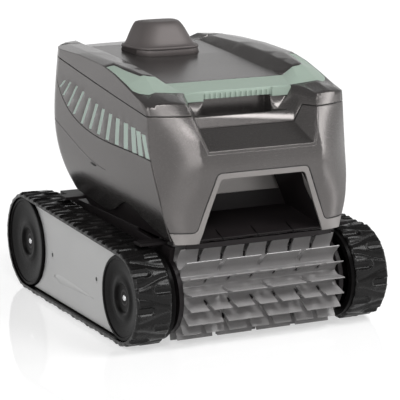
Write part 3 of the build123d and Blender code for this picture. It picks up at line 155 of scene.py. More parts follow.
def woven_mesh():
    """Polyester filter mesh: crossed white threads, drawn at 1.2 mm so that the weave shows."""
    made, tree, shader, place = blank("polyester_mesh")
    threads = []
    for direction in ("X", "Y", "Z"):
        wave = add(tree, "ShaderNodeTexWave", {"Vector": place, "Scale": per_mm(thread_mm) / waves_per_unit},
                   wave_type="BANDS", bands_direction=direction)
        threads.append(wave.outputs["Fac"])
    first = add(tree, "ShaderNodeMath", {0: threads[0], 1: threads[1]}, operation="MAXIMUM")
    weave = add(tree, "ShaderNodeMath", {0: first.outputs[0], 1: threads[2]}, operation="MAXIMUM")
    tone = add(tree, "ShaderNodeMix", {"Factor": weave.outputs[0]}, data_type="RGBA")
    tone.inputs["A"].default_value = colour("#b9bfbc")
    tone.inputs["B"].default_value = colour("#e9ebea")
    tree.links.new(tone.outputs["Result"], shader.inputs["Base Color"])
    bump = add(tree, "ShaderNodeBump", {"Height": weave.outputs[0], "Distance": 0.2 * MM, "Strength": 0.6})
    tree.links.new(bump.outputs["Normal"], shader.inputs["Normal"])
    shader.inputs["Roughness"].default_value = 0.8
    return made


polyester_mesh = woven_mesh()

finishes = {
    painted_abs: ["lid_shell", "top_panel", "outlet_hood", "main_casing", "side_panel_left",
                  "side_panel_right", "front_fascia", "front_inset_panel"],
    pale_paint_and_painted_light: ["mouth_frame"],
    green_abs: ["lid_handle"],
    stripe_abs: ["stripe_inlays_left", "stripe_inlays_right"],
    black_polypropylene: ["mouth_liner", "front_bumper", "base_tray", "brush_cheek_left", "brush_cheek_right",
                          "track_frame_left", "track_frame_right", "cable_gland", "brush_core", "propeller",
                          "propeller_duct", "motor_housing", "housing_cover", "inlet_flap"],
    gloss_black_and_slot_shade: ["front_left_wheel", "front_right_wheel", "rear_left_wheel", "rear_right_wheel"],
    nitrile_rubber: ["belt_left", "belt_right"],
    seal_rubber: ["housing_seal"],
    silver_painted_abs: ["side_plate_left", "side_plate_right"],
    brush_rubber: ["brush_blades"],
    stainless_steel: ["front_left_axle", "front_right_axle", "rear_left_axle", "rear_right_axle",
                      "hinge_pins"],
    recess_shade_steel: ["side_plate_screws"],
    natural_acetal: ["drive_gear_left", "drive_gear_right", "motor_pinion_left", "motor_pinion_right",
                     "brush_pinion", "brush_ring_gear"],
    sintered_bronze: ["axle_bushes"],
    motor_enamel: ["traction_motor_left", "traction_motor_right", "pump_motor"],
    filter_polypropylene: ["filter_basket", "filter_cover"],
    polyester_mesh: ["filter_mesh"],
}
for finish, names in finishes.items():
    for name in names:
        for slot in nodes[name].material_slots:
            slot.material = finish


# Pieces: finer shapes over the solids, in millimetres, each riding on the body of what carries it

def piece(name, points, faces, finish, body, slot, replaced=(), fold=100.0):
    """Closed mesh piece from points in millimetres, smooth except where it folds by more than an angle."""
    form = bmesh.new()
    corners = [form.verts.new(Vector(p) * MM) for p in points]
    for face in faces:
        form.faces.new([corners[i] for i in face])
    bmesh.ops.recalc_face_normals(form, faces=form.faces)
    data = bpy.data.meshes.new(name)
    form.to_mesh(data)
    form.free()
    data.shade_smooth()
    data.set_sharp_from_angle(angle=math.radians(fold))
    data.materials.append(finish)
    made = bpy.data.objects.new(name, data)
    bpy.context.collection.objects.link(made)
    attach(made, body)
    if replaced:
        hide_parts(*replaced)
    return made


def ring_faces(rings, steps):
    """Quads between neighbouring rings of points."""
    faces = []
    for ring in range(rings - 1):
        for step in range(steps):
            after = (step + 1) % steps
            here, there = ring * steps, (ring + 1) * steps
            faces.append((here + step, here + after, there + after, there + step))
    return faces


def on_circle(centre, radius, angle):
    """Point in Y and Z on a circle about an axle."""
    return centre[0] + radius * math.cos(angle), centre[1] + radius * math.sin(angle)


def shifted(faces, first):
    """Faces whose points start later in a list."""
    return [tuple(first + corner for corner in face) for face in faces]


def turned(profile, axle, side, steps):
    """Points and faces of a profile of radius and distance out, turned about an axle that runs along X."""
    points = []
    for radius, out in profile:
        for step in range(steps):
            points.append((side * out, *on_circle(axle, radius, 2 * math.pi * step / steps)))
    faces = ring_faces(len(profile), steps)
    faces.append(tuple(range((len(profile) - 1) * steps, len(profile) * steps)))
    faces.append(tuple(reversed(range(steps))))
    return points, faces


# Wheel discs: rim with a ring groove, shallow dish, swollen ring and a crater with one screw

front_axle, front_r = (-125.0, 49.15), 43.25
rear_axle, rear_r = (125.0, 54.45), 48.55
wheel_sets = {
    "front_left": (front_axle, -1, front_r),
    "front_right": (front_axle, 1, front_r),
    "rear_left": (rear_axle, -1, rear_r),
    "rear_right": (rear_axle, 1, rear_r),
}
disc_back_x = 133.2
hub_profile = [(25.0, 136.75), (22.0, 137.25), (19.5, 137.75), (17.5, 137.85), (16.0, 137.5), (14.9, 136.7),
               (14.2, 135.6), (13.4, 135.15), (11.0, 134.8), (8.6, 134.6)]
cap_profile = [(8.55, disc_back_x), (8.55, 134.55), (8.0, 134.75), (6.6, 134.7), (5.2, 134.1), (4.7, 133.8)]
head_profile = [(3.5, 133.85), (3.4, 134.5), (3.0, 135.1), (2.2, 135.45), (1.1, 135.6), (0.9, 135.1),
                (0.3, 135.0)]
rim_section = [(0.1, disc_back_x), (0.1, 138.0), (0.15, 139.3), (0.7, 139.95), (1.5, 140.1), (2.4, 139.95),
               (2.9, 139.2), (3.3, 138.9), (3.8, 139.1), (5.0, 139.0), (9.0, 138.4), (14.0, 137.6)]
for wheel, (axle, side, rim_r) in wheel_sets.items():
    rim_profile = [(rim_r - inside, out) for inside, out in rim_section]
    body = wheel + "_wheel_set"
    disc, cap, head = (turned(profile, axle, side, steps)
                       for profile, steps in ((rim_profile + hub_profile, 96), (cap_profile, 48),
                                              (head_profile, 32)))
    piece(wheel + "_disc", *disc, gloss_black_and_slot_shade, body, "gloss_black")
    piece(wheel + "_hub_cap", *cap, black_polypropylene, body, "black_plastic")
    piece(wheel + "_hub_screw", *head, stainless_steel, body, "steel")


# Belts: crowned tread with pill slots from each edge in turn and a wavy groove between neighbours

belt_gap, belt_band, tread_depth = 0.3, 2.6, 3.0
belt_outer_x, belt_width = 141.8, 37.6
tread_slots = 44
wheelbase = math.dist(front_axle, rear_axle)
lean = math.asin((rear_r - front_r) / wheelbase)
tilt = math.atan2(rear_axle[1] - front_axle[1], rear_axle[0] - front_axle[0])
band_r = belt_gap + belt_band
front_arc = (front_r + band_r) * (math.pi - 2 * lean)
rear_arc = (rear_r + band_r) * (math.pi + 2 * lean)
run = wheelbase * math.cos(lean)
loop = 2 * run + front_arc + rear_arc
top_angle = math.pi / 2 + lean + tilt
low_angle = -math.pi / 2 - lean + tilt


def belt_point(along, height):
    """Point in Y and Z on the loop, at a length along it and a height above the wheel rims."""
    along %= loop
    if along < run:
        y, z = on_circle(front_axle, front_r + height, top_angle)
        return y + along * math.sin(top_angle), z - along * math.cos(top_angle)
    along -= run
    if along < rear_arc:
        return on_circle(rear_axle, rear_r + height, top_angle - along / (rear_r + band_r))
    along -= rear_arc
    if along < run:
        y, z = on_circle(rear_axle, rear_r + height, low_angle)
        return y + along * math.sin(low_angle), z - along * math.cos(low_angle)
    along -= run
    return on_circle(front_axle, front_r + height, low_angle - along / (front_r + band_r))


def ease(value):
    """Smooth step from 0 to 1."""
    value = min(1.0, max(0.0, value))
    return value * value * (3 - 2 * value)


pitch = loop / tread_slots
slot_half, slot_reach, slot_wall, slot_rim = 3.1, 18.5, 1.5, 0.7
wave_swing, wave_depth, wave_share = 0.24, 1.7, 0.32
slot_depth_share, least_height = 0.8, 0.1
edge_round, edge_drop = 2.4, 1.8
steps_per_slot, belt_lanes = 16, 40


def tread_height(along, across):
    """Height of the tread above the band; across runs from -1 at the inner edge to 1 at the outer edge."""
    place = across * belt_width / 2
    height = tread_depth - slot_rim
    lower = math.floor(along / pitch)
    turn = 1 if lower % 2 == 0 else -1
    wave = (lower + 0.5 + turn * wave_swing * math.sin(across * math.pi / 2)) * pitch
    height -= wave_depth * max(0.0, 1 - abs(along - wave) / (wave_share * pitch)) ** 2
    index = int(round(along / pitch))
    open_side = 1 if index % 2 == 0 else -1
    from_edge = belt_width / 2 - open_side * place
    beyond = max(0.0, from_edge - (slot_reach - slot_half))
    reach = math.hypot(along - index * pitch, beyond) - slot_half
    height += slot_rim * max(0.0, 1 - abs(reach - slot_wall) / slot_wall)
    height -= tread_depth * slot_depth_share * (1 - ease(reach / slot_wall + 0.5))
    edge = (belt_width / 2 - abs(place)) / edge_round
    if edge < 1:
        height -= edge_drop * (1 - edge) ** 2
    return min(tread_depth, max(least_height, height))


def belt(side):
    """Points and faces of a belt: tread, side walls and the smooth inside as one closed loop."""
    lengths, lanes = tread_slots * steps_per_slot, belt_lanes
    points = []
    for step in range(lengths):
        along = loop * step / lengths
        for lane in range(lanes + 1):
            across = -1 + 2 * lane / lanes
            height = band_r + tread_height(along, across)
            y, z = belt_point(along, height)
            x = belt_outer_x - belt_width / 2 + across * belt_width / 2
            points.append((side * x, y, max(z, 0.0)))
        for x in (belt_outer_x, belt_outer_x - belt_width):
            y, z = belt_point(along, belt_gap)
            points.append((side * x, y, z))
    row = lanes + 3
    faces = []
    for step in range(lengths):
        here, there = step * row, (step + 1) % lengths * row
        for lane in range(row):
            after = (lane + 1) % row
            faces.append((here + lane, here + after, there + after, there + lane))
    return points, faces


for side, name in ((-1, "left"), (1, "right")):
    points, faces = belt(side)
    piece("tread_belt_" + name, points, faces, nitrile_rubber, "chassis", "belt_rubber", ("belt_" + name,),
          fold=60.0)


# Painted shells: welded copies in which close facets shade as one skin and only real edges stay sharp

weld_gap = 0.002


def eased(name, body, finish, angle=24.0):
    """Smooth welded copy of a moulded solid, in place of it."""
    form = bmesh.new()
    form.from_mesh(nodes[name].data)
    bmesh.ops.remove_doubles(form, verts=form.verts, dist=weld_gap * MM)
    data = bpy.data.meshes.new(name + "_skin")
    form.to_mesh(data)
    form.free()
    data.shade_smooth()
    data.set_sharp_from_angle(angle=math.radians(angle))
    data.materials.clear()
    data.materials.append(finish)
    made = bpy.data.objects.new(name + "_skin", data)
    bpy.context.collection.objects.link(made)
    made.modifiers.new("even_skin", "WEIGHTED_NORMAL").keep_sharp = True
    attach(made, body)
    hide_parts(name)


for name in ("lid_shell", "top_panel"):
    eased(name, "lid", painted_abs)
for name in ("main_casing", "side_panel_left", "side_panel_right", "front_fascia", "front_inset_panel"):
    eased(name, "chassis", painted_abs)
eased("lid_handle", "lid", green_abs)
eased("mouth_frame", "chassis", pale_paint_and_painted_light)


# Brush roller: soft sleeve with thin blades that swell into it, and a pin at the foot of each narrow gap

brush_axis = (-125.998, 53.845)
brush_half, sleeve_r, tip_r, gap_r = 87.0, 33.0, 53.4, 34.6
brush_rows, first_row = 20, 176.0
wide_blades, narrow_blades = 4, 7
blade_gap, blade_slope = 4.6, 1.1
tip_half, taper, root_swell, swell_r, swell_power = 0.45, 0.35, 3.4, 40.0, 2.2
root_sink, levels, level_power = 0.4, 7, 1.3
end_steps = (0.0, 0.3, 0.6, 1.2)


def blade_reach(x, count):
    """How far a row stands out at a place along the roller: full at a blade, low in a gap."""
    span = (2 * brush_half + blade_gap) / count
    inside = (x + brush_half) % span
    from_end = min(inside, span - blade_gap - inside)
    return gap_r + (tip_r - gap_r) * min(1.0, max(0.0, from_end / blade_slope + 0.5))


def blade_stations(count):
    """Places along the roller, close together where a blade ends."""
    span = (2 * brush_half + blade_gap) / count
    stations = []
    for blade in range(count):
        left = -brush_half + blade * span
        right = left + span - blade_gap
        stations += [left + d for d in end_steps]
        stations += [left + (right - left) * part / 8 for part in range(1, 8)]
        stations += [right - d for d in reversed(end_steps)]
        if blade < count - 1:
            stations += [right + blade_gap * part for part in (0.25, 0.5, 0.75)]
    return stations


def blade_half(radius):
    """Half thickness of a blade: thin at the tip, swelling into the sleeve at its root."""
    swell = max(0.0, (swell_r - radius) / (swell_r - sleeve_r))
    return tip_half + taper * (tip_r - radius) / (tip_r - sleeve_r) + root_swell * swell ** swell_power


def brush_place(x, angle, radius, aside):
    """Point of the roller from its angle, distance from the axis and distance aside of the row's middle."""
    return (x, brush_axis[0] + radius * math.cos(angle) - aside * math.sin(angle),
            brush_axis[1] + radius * math.sin(angle) + aside * math.cos(angle))


def row_angle(row):
    """Angle of a row of blades about the roller."""
    return math.radians(first_row + 360.0 / brush_rows * row)


points, faces = [], []
loop_size = 2 * levels + 2
for row in range(brush_rows):
    angle = row_angle(row)
    count = wide_blades if row % 2 == 0 else narrow_blades
    stations = blade_stations(count)
    start = len(points)
    for x in stations:
        top = blade_reach(x, count)
        root = sleeve_r - root_sink
        radii = [root + (top - root) * (level / levels) ** level_power for level in range(levels + 1)]
        points += [brush_place(x, angle, r, blade_half(r)) for r in radii]
        points += [brush_place(x, angle, r, -blade_half(r)) for r in reversed(radii)]
    for station in range(len(stations) - 1):
        here, there = start + station * loop_size, start + (station + 1) * loop_size
        for level in range(loop_size):
            after = (level + 1) % loop_size
            faces.append((here + level, here + after, there + after, there + level))
    faces.append(tuple(range(start, start + loop_size)))
    faces.append(tuple(reversed(range(len(points) - loop_size, len(points)))))
sleeve_profile = [(31.2, 87.0), (32.6, 87.0), (33.0, 86.6), (33.0, -86.6), (32.6, -87.0), (31.2, -87.0)]
sleeve_steps = 120
sleeve_points, sleeve_faces = turned(sleeve_profile, brush_axis, 1, sleeve_steps)
inner_ring = (len(sleeve_profile) - 1) * sleeve_steps
tube_faces = sleeve_faces[:-2]
for step in range(sleeve_steps):
    after = (step + 1) % sleeve_steps
    tube_faces.append((inner_ring + step, inner_ring + after, after, step))
faces += shifted(tube_faces, len(points))
points += sleeve_points
piece("bladed_sleeve", points, faces, brush_rubber, "brush_roller", "brush_rubber", ("brush_blades",),
      fold=50.0)

points, faces = [], []
pin_profile = [(1.6, 33.0), (1.6, 39.4), (1.3, 40.1), (0.5, 40.4)]
pin_steps = 12
narrow_span = (2 * brush_half + blade_gap) / narrow_blades
for row in range(1, brush_rows, 2):
    angle = row_angle(row)
    for gap in range(narrow_blades - 1):
        middle_x = -brush_half + (gap + 1) * narrow_span - blade_gap / 2
        first = len(points)
        for radius, out in pin_profile:
            for step in range(pin_steps):
                turn = 2 * math.pi * step / pin_steps
                points.append(brush_place(middle_x + radius * math.cos(turn), angle, out,
                                          radius * math.sin(turn)))
        faces += shifted(ring_faces(len(pin_profile), pin_steps), first)
        faces.append(tuple(range(len(points) - pin_steps, len(points))))
        faces.append(tuple(reversed(range(first, first + pin_steps))))
piece("gap_pins", points, faces, black_polypropylene, "brush_roller", "black_plastic")


# Mouth: a pale band across the back wall that paints the light on its upper part, dark ribs on the ramp that
# paint the shade of its slots, and a pale pad on each side wall as a painted highlight

mouth_front_y, mouth_rear_y = -164.0, -97.0
lip_z, ramp_rise = 106.8, 14.2
mouth_top_half, mouth_foot_half, mouth_top_z = (48.0, 42.0), (73.5, 61.5), (170.0, 166.0)
highlight_pad_section = ((-2.0, -1.05), (-0.6, 0.5), (0.0, 0.7), (0.6, 0.5), (2.0, -1.05))
rib_section = ((-1.9, -0.95), (-0.5, 0.75), (0.0, 0.95), (0.5, 0.75), (1.9, -0.95))
rib_places, rib_rear_y, rib_length, rib_bend, rib_parts = (-43.0, -3.3, 36.8), -137.0, 25.0, 3.0, 12
highlight_pad_y, highlight_pad_low_z, highlight_pad_height, highlight_pad_half, highlight_pad_parts = -154.5, 136.0, 29.0, 3.6, 12


def mouth_depth(y):
    """Share of the way from the lip to the back wall."""
    return (y - mouth_front_y) / (mouth_rear_y - mouth_front_y)


def ramp_z(y):
    """Height of the mouth's floor."""
    return lip_z + ramp_rise * mouth_depth(y)


def wall_x(y, z):
    """Half width between the mouth's slanting side walls."""
    depth = mouth_depth(y)
    top_half, foot_half, top_z = (front + (rear - front) * depth
                                  for front, rear in (mouth_top_half, mouth_foot_half, mouth_top_z))
    return foot_half + (top_half - foot_half) * (z - ramp_z(y)) / (top_z - ramp_z(y))


def strip_faces(rows, columns):
    """Quads over a grid of points, closed behind from its first to its last column and at both ends."""
    last = columns - 1
    faces = [(row * columns + c, row * columns + c + 1, (row + 1) * columns + c + 1, (row + 1) * columns + c)
             for row in range(rows - 1) for c in range(last)]
    faces += [(row * columns + last, row * columns, (row + 1) * columns, (row + 1) * columns + last)
              for row in range(rows - 1)]
    return faces + [tuple(range(columns)), tuple(range((rows - 1) * columns, rows * columns))]


# The band is painted light: pale paint where the upper part of the back wall is lit
band_y, band_low, band_parts, band_gap = -97.1, 137.6, 12, 0.3
band_section = ((0.0, -1.2), (0.25, 0.7), (0.8, 0.95), (1.6, 1.0), (11.0, 1.0), (20.8, 1.0), (21.6, 0.95),
                (22.15, 0.7), (22.4, -1.2))
points = []
for part in range(-band_parts, band_parts + 1):
    for rise, proud in band_section:
        half = wall_x(band_y, band_low + rise) - band_gap
        points.append((part / band_parts * half, band_y - proud, band_low + rise))
piece("mouth_back_lit_band", points, strip_faces(2 * band_parts + 1, len(band_section)), pale_paint_and_painted_light,
      "chassis", "frame_grey")

# Ribs of near-black gloss on the black ramp: painted shade of the ramp's slots, raised rather than cut
points, faces = [], []
for rib_x in rib_places:
    first = len(points)
    for part in range(rib_parts + 1):
        share = part / rib_parts
        y = rib_rear_y - rib_length * share
        swell = math.sin(math.pi * min(0.985, share + 0.04)) ** 0.6
        centre = rib_x + rib_bend * (1 - share) ** 2
        for aside, rise in rib_section:
            points.append((centre + aside * swell, y, ramp_z(y) + rise * swell))
    faces += shifted(strip_faces(rib_parts + 1, len(rib_section)), first)
piece("ramp_slot_shade_ribs", points, faces, gloss_black_and_slot_shade, "chassis", "gloss_black")

# Pale pads on the side walls: a painted highlight, the bright sliver of light on each wall
for side, name in ((-1, "left"), (1, "right")):
    points = []
    for part in range(highlight_pad_parts + 1):
        z = highlight_pad_low_z + highlight_pad_height * part / highlight_pad_parts
        half = highlight_pad_half * math.sin(math.pi * part / highlight_pad_parts) + 0.05
        for across, proud in highlight_pad_section:
            y = highlight_pad_y + across * half
            points.append((side * (wall_x(y, z) - proud), y, z))
    piece("mouth_wall_highlight_pad_" + name, points, strip_faces(highlight_pad_parts + 1, len(highlight_pad_section)), pale_paint_and_painted_light,
          "chassis", "frame_grey")


# Side plates: screw heads with dark discs over their recesses as painted shade, and a faint raised wedge low
# on each plate

plate_x, screw_back_x = 136.9, 135.6
screw_places = [(side, (y, 54.0)) for side in (-1, 1) for y in (-61.4, 55.5)]
screw_profile = [(4.3, screw_back_x), (4.3, 136.7), (4.25, 136.98), (3.9, 137.12), (2.6, 137.15),
                 (2.3, 137.0), (2.0, 136.2), (0.4, 135.9)]
recess_shade_profile = [(2.25, screw_back_x), (2.25, 137.0), (1.6, 136.95), (0.3, 136.9)]


def at_screws(profile, steps):
    """Points and faces of a turned profile at each of the plates' screws."""
    points, faces = [], []
    for side, place in screw_places:
        head_points, head_faces = turned(profile, place, side, steps)
        faces += shifted(head_faces, len(points))
        points += head_points
    return points, faces


piece("plate_screws", *at_screws(screw_profile, 32), silver_painted_abs, "chassis", "steel",
      ("side_plate_screws",))
# Dark discs over the recesses in the screw heads: painted shade
piece("plate_screw_recess_shade", *at_screws(recess_shade_profile, 24), recess_shade_steel, "chassis", "steel")

wedge_rear_y, wedge_length, wedge_z, wedge_half, wedge_parts = 51.8, 107.0, 31.8, 5.2, 16
wedge_section = ((-1.9, -1.05), (-0.7, 0.35), (0.0, 0.5), (0.7, 0.35), (1.9, -1.05))
for side, name in ((-1, "left"), (1, "right")):
    points = []
    for part in range(wedge_parts + 1):
        share = part / wedge_parts
        half = wedge_half * (1 - share) ** 0.8 * min(1.0, 6 * share + 0.15) + 0.1
        points += [(side * (plate_x + proud), wedge_rear_y - wedge_length * share, wedge_z + across * half)
                   for across, proud in wedge_section]
    piece("plate_wedge_" + name, points, strip_faces(wedge_parts + 1, len(wedge_section)), silver_painted_abs,
          "chassis", "silver_plastic")


# Dark strip in the groove between the fascia and the mouth frame: painted shade, the dark line that parts the
# two greys

def surface(name):
    """Ray test against a solid's own mesh."""
    data = nodes[name].data
    return BVHTree.FromPolygons([v.co for v in data.vertices], [p.vertices for p in data.polygons])


corner_parts, far_out = 6, 300.0


def rounded_path(corners, radius, step):
    """Evenly stepped points along a polyline whose inner corners are rounded."""
    path = []
    for index, corner in enumerate(corners):
        corner = Vector(corner)
        if index in (0, len(corners) - 1):
            path.append(corner)
            continue
        before = (Vector(corners[index - 1]) - corner).normalized() * radius
        after = (Vector(corners[index + 1]) - corner).normalized() * radius
        for part in range(corner_parts + 1):
            t = part / corner_parts
            path.append((corner + before) * (1 - t) ** 2 + corner * 2 * t * (1 - t)
                        + (corner + after) * t ** 2)
    stepped = []
    for start, end in zip(path, path[1:]):
        count = max(1, round((end - start).length / step))
        stepped += [start.lerp(end, part / count) for part in range(count)]
    return stepped + [path[-1]]


fascia_surface = surface("front_fascia")
# Black strip laid along the groove: painted shade of the gap
groove_shade_half, groove_shade_proud, groove_shade_sink, groove_shade_probe = 0.62, 0.16, 0.5, 1.4
groove_shade_corners = [(-94.0, 115.9), (-72.9, 115.9), (-50.9, 174.0), (50.9, 174.0), (72.9, 115.9), (94.0, 115.9)]
groove_shade_section = ((-1.0, -groove_shade_sink), (-0.7, groove_shade_proud * 0.6), (0.0, groove_shade_proud), (0.7, groove_shade_proud * 0.6),
                (1.0, -groove_shade_sink))
groove_shade_path = rounded_path(groove_shade_corners, 5.0, 2.0)
rows = []
for index, place in enumerate(groove_shade_path):
    before, after = groove_shade_path[max(0, index - 1)], groove_shade_path[min(len(groove_shade_path) - 1, index + 1)]
    aside = Vector((before.y - after.y, after.x - before.x)).normalized()
    probe = place + aside * groove_shade_probe
    hit = fascia_surface.ray_cast(Vector((probe.x, -far_out, probe.y)) * MM, Vector((0.0, 1.0, 0.0)))[0]
    if hit is not None:
        rows.append([(place.x + aside.x * across * groove_shade_half, hit.y / MM - proud,
                      place.y + aside.y * across * groove_shade_half) for across, proud in groove_shade_section])
points = [point for row in rows for point in row]
piece("mouth_groove_shade_strip", points, strip_faces(len(rows), len(groove_shade_section)), seal_rubber, "chassis",
      "seal_rubber")


# Scoop on each side of the casing: a soft crease that falls towards the front and ends in a small slot, whose
# dark inside is painted shade on a raised black strip

casing_surface = surface("main_casing")
crease_points = [(98.0, 193.8), (72.0, 185.2), (49.0, 177.7), (28.0, 170.6), (9.5, 165.2), (-10.0, 161.4),
                 (-29.0, 159.3)]
crease_half, scoop_half = 1.5, 1.5
scoop_rear_y, scoop_length, scoop_z, scoop_fall, scoop_parts = 6.0, 13.0, 161.2, 0.12, 10
crease_section = ((-2.2, -1.4), (-0.55, 0.25), (0.0, 0.45), (0.55, 0.25), (2.2, -1.4))
slot_shade_section = ((-1.0, -0.1), (-0.6, 0.5), (0.0, 0.6), (0.6, 0.5), (1.0, -0.1))


def on_casing(side, y, z, proud):
    """Point on the casing's flank, raised from it."""
    hit = casing_surface.ray_cast(Vector((side * far_out, y, z)) * MM, Vector((-side, 0.0, 0.0)))[0]
    return (hit.x / MM + side * proud, y, z)


# The black strip along each slot is painted shade of the slot's inside
for side, name in ((-1, "left"), (1, "right")):
    path = rounded_path(crease_points, 6.0, 2.0)
    points = []
    for index, place in enumerate(path):
        half = crease_half * math.sin(math.pi * (index + 0.5) / len(path)) ** 0.7
        points += [on_casing(side, place.x, place.y + across * half, proud)
                   for across, proud in crease_section]
    piece("scoop_crease_" + name, points, strip_faces(len(path), len(crease_section)), painted_abs,
          "chassis", "body_grey")
    points = []
    for part in range(scoop_parts + 1):
        y = scoop_rear_y - scoop_length * part / scoop_parts
        half = scoop_half * math.sin(math.pi * (part + 0.3) / (scoop_parts + 0.6)) + 0.05
        middle_z = scoop_z - scoop_fall * (scoop_rear_y - y)
        points += [on_casing(side, y, middle_z + across * half, proud) for across, proud in slot_shade_section]
    piece("scoop_slot_shade_" + name, points, strip_faces(scoop_parts + 1, len(slot_shade_section)), seal_rubber,
          "chassis", "seal_rubber")


# Outlet hood: a soft bell that flares into a thin flange, open behind through four upright slots

def hood_ring(front_half, rear_half, front_y, rear_y, steps=144, squareness=3.0):
    """Plan outline of the hood, narrow in front and wide behind, with soft corners."""
    ring = []
    for step in range(steps):
        angle = 2 * math.pi * (step + 0.5) / steps
        across = math.copysign(abs(math.cos(angle)) ** (2 / squareness), math.cos(angle))
        back = math.copysign(abs(math.sin(angle)) ** (2 / squareness), math.sin(angle))
        half = front_half + (rear_half - front_half) * (back + 1) / 2
        ring.append(Vector((across * half, (front_y + rear_y) / 2 + back * (rear_y - front_y) / 2)))
    return ring


hood_foot = hood_ring(32.5, 41.0, 43.5, 97.5, squareness=4.0)
hood_crown = hood_ring(18.5, 27.0, 60.0, 93.0, squareness=3.4)
hood_flange = hood_ring(35.2, 41.8, 40.2, 100.8, squareness=4.0)
crown_middle = sum(hood_crown, Vector((0.0, 0.0))) / len(hood_crown)
bell_base, bell_height = 271.0, 25.0
bell_side = [(0.0, 0.0), (0.07, 0.025), (0.16, 0.09), (0.27, 0.2), (0.4, 0.36), (0.53, 0.52), (0.66, 0.67),
             (0.79, 0.8), (0.9, 0.89), (1.0, 0.95)]
bell_crown = [(0.88, 0.982), (0.72, 0.996), (0.5, 1.0), (0.25, 1.0)]
skirt_foot, skirt_share, skirt_rise = -0.3, 0.4, -2.6
flange_edge = [(skirt_share, skirt_rise), (0.0, -2.5), (-0.01, -1.6), (0.0, -0.7), (0.12, -0.15), (0.6, 0.0)]
panel_z, panel_y, panel_slope = 261.4, 40.0, 0.0625
steps = len(hood_foot)
points = [(*place, panel_z + panel_slope * (place.y - panel_y))
          for place in (p.lerp(q, skirt_foot) for p, q in zip(hood_flange, hood_foot))]
for share, rise in flange_edge:
    points += [(*p.lerp(q, share), bell_base + rise) for p, q in zip(hood_flange, hood_foot)]
for share, rise in bell_side:
    points += [(*p.lerp(q, share), bell_base + bell_height * rise) for p, q in zip(hood_foot, hood_crown)]
for share, rise in bell_crown:
    points += [(*crown_middle.lerp(p, share), bell_base + bell_height * rise) for p in hood_crown]
rings = 1 + len(flange_edge) + len(bell_side) + len(bell_crown)
vent_half, vent_bar, vent_low, vent_high, vent_front_y = 24.0, 2.6, 272.5, 289.0, 86.0
vent_count, hood_wall = 4, 2.0
vent_pitch = 2 * vent_half / vent_count


def in_vent(face):
    """Whether a face of the bell lies in one of the four slots behind."""
    middle = sum((Vector(points[corner]) for corner in face), Vector()) / len(face)
    if middle.y < vent_front_y or abs(middle.x) > vent_half or not vent_low < middle.z < vent_high:
        return False
    return vent_bar / 2 < (middle.x + vent_half) % vent_pitch < vent_pitch - vent_bar / 2


faces = [face for face in ring_faces(rings, steps) if not in_vent(face)]
faces.append(tuple(range((rings - 1) * steps, rings * steps)))
made = piece("outlet_bell", points, faces, satin_painted_abs, "lid", "body_grey", ("outlet_hood",))
shell_wall = made.modifiers.new("hood_wall", "SOLIDIFY")
shell_wall.thickness = hood_wall * MM
shell_wall.offset = -1.0


# Studio: pale floor that mirrors the object faintly, white surround that dims overhead, soft lamps

def seen_rays(tree):
    """1 for rays that show the background to the eye, straight, mirrored or through glass; 0 for light."""
    rays = add(tree, "ShaderNodeLightPath").outputs
    mirrored = add(tree, "ShaderNodeMath", {0: rays["Is Camera Ray"], 1: rays["Is Glossy Ray"]},
                   operation="MAXIMUM")
    clear = add(tree, "ShaderNodeMath", {0: mirrored.outputs[0], 1: rays["Is Transmission Ray"]},
                operation="MAXIMUM")
    return clear.outputs[0]


floor_glow, floor_size = 0.56, 12.0


def floor_finish():
    """Polished white acrylic sheet: white to the eye, keeps the shadow and a faint mirror image."""
    made, tree, shader, _ = blank("white_acrylic")
    shader.inputs["Base Color"].default_value = colour("#cfcfcf")
    shader.inputs["Roughness"].default_value = 0.04
    shader.inputs["Specular IOR Level"].default_value = 0.3
    shader.inputs["Emission Color"].default_value = colour("#ffffff")
    glow = add(tree, "ShaderNodeMath", {0: seen_rays(tree), 1: floor_glow}, operation="MULTIPLY")
    tree.links.new(glow.outputs[0], shader.inputs["Emission Strength"])
    return made


bpy.ops.mesh.primitive_plane_add(size=floor_size, location=(0, 0, 0))
floor = bpy.context.object
floor.name = "floor"
floor.data.materials.append(floor_finish())

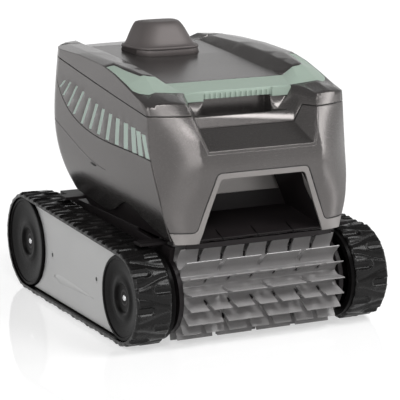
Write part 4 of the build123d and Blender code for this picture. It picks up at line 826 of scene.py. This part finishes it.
world = bpy.data.worlds.new("surround")
bpy.context.scene.world = world
world.use_nodes = True
sky = world.node_tree
sky.nodes.clear()
lit_level, seen_level, overhead_share = 0.36, 1.0, 0.25
level = add(sky, "ShaderNodeMapRange", {"Value": seen_rays(sky), "To Min": lit_level, "To Max": seen_level})
facing = add(sky, "ShaderNodeSeparateXYZ", {"Vector": add(sky, "ShaderNodeTexCoord").outputs["Generated"]})
dimmed = add(sky, "ShaderNodeMapRange", {"Value": facing.outputs["Z"], "From Min": 0.15, "From Max": 0.6,
                                         "To Min": 1.0, "To Max": overhead_share},
             interpolation_type="SMOOTHSTEP")
strength = add(sky, "ShaderNodeMath", {0: level.outputs["Result"], 1: dimmed.outputs["Result"]},
               operation="MULTIPLY")
ground = add(sky, "ShaderNodeBackground", {"Color": colour("#ffffff"), "Strength": strength.outputs[0]})
add(sky, "ShaderNodeOutputWorld", {"Surface": ground.outputs["Background"]})


def lamp(name, place, target, size, power):
    """A soft square lamp that faces a point."""
    data = bpy.data.lights.new(name, "AREA")
    data.shape = "RECTANGLE"
    data.size, data.size_y = size
    data.energy = power
    made = bpy.data.objects.new(name, data)
    bpy.context.collection.objects.link(made)
    made.location = place
    made.rotation_euler = (Vector(target) - Vector(place)).to_track_quat("-Z", "Y").to_euler()


middle = (0.0, 0.0, 0.15)
lamp("eye_box", (-0.95, -2.3, 0.75), middle, (0.8, 0.9), 6.0)
lamp("front_box", (-0.75, -1.55, 1.35), middle, (0.7, 0.5), 13.0)
lamp("left_box", (-1.8, -0.4, 0.9), middle, (0.8, 1.2), 8.0)
lamp("top_box", (0.67, -0.85, 1.4), middle, (0.7, 0.5), 12.0)
lamp("right_strip", (1.6, -0.7, 0.7), middle, (0.3, 1.2), 7.0)

eye = bpy.data.cameras.new("photo_eye")
eye.sensor_width = 36.0
eye.lens = 181.79
eye.clip_end = 50.0
camera = bpy.data.objects.new("photo_eye", eye)
bpy.context.collection.objects.link(camera)
right = Vector((0.89534, -0.44543, 0.0)).normalized()
ahead = Vector((0.43552, 0.87542, -0.20969)).normalized()
up = right.cross(ahead).normalized()
turn = Matrix((right, up, -ahead)).transposed()
camera.matrix_world = Matrix.Translation((-0.9303, -1.8927, 0.5638)) @ turn.to_4x4()
bpy.context.scene.camera = camera
bpy.context.scene.view_settings.view_transform = "Standard"
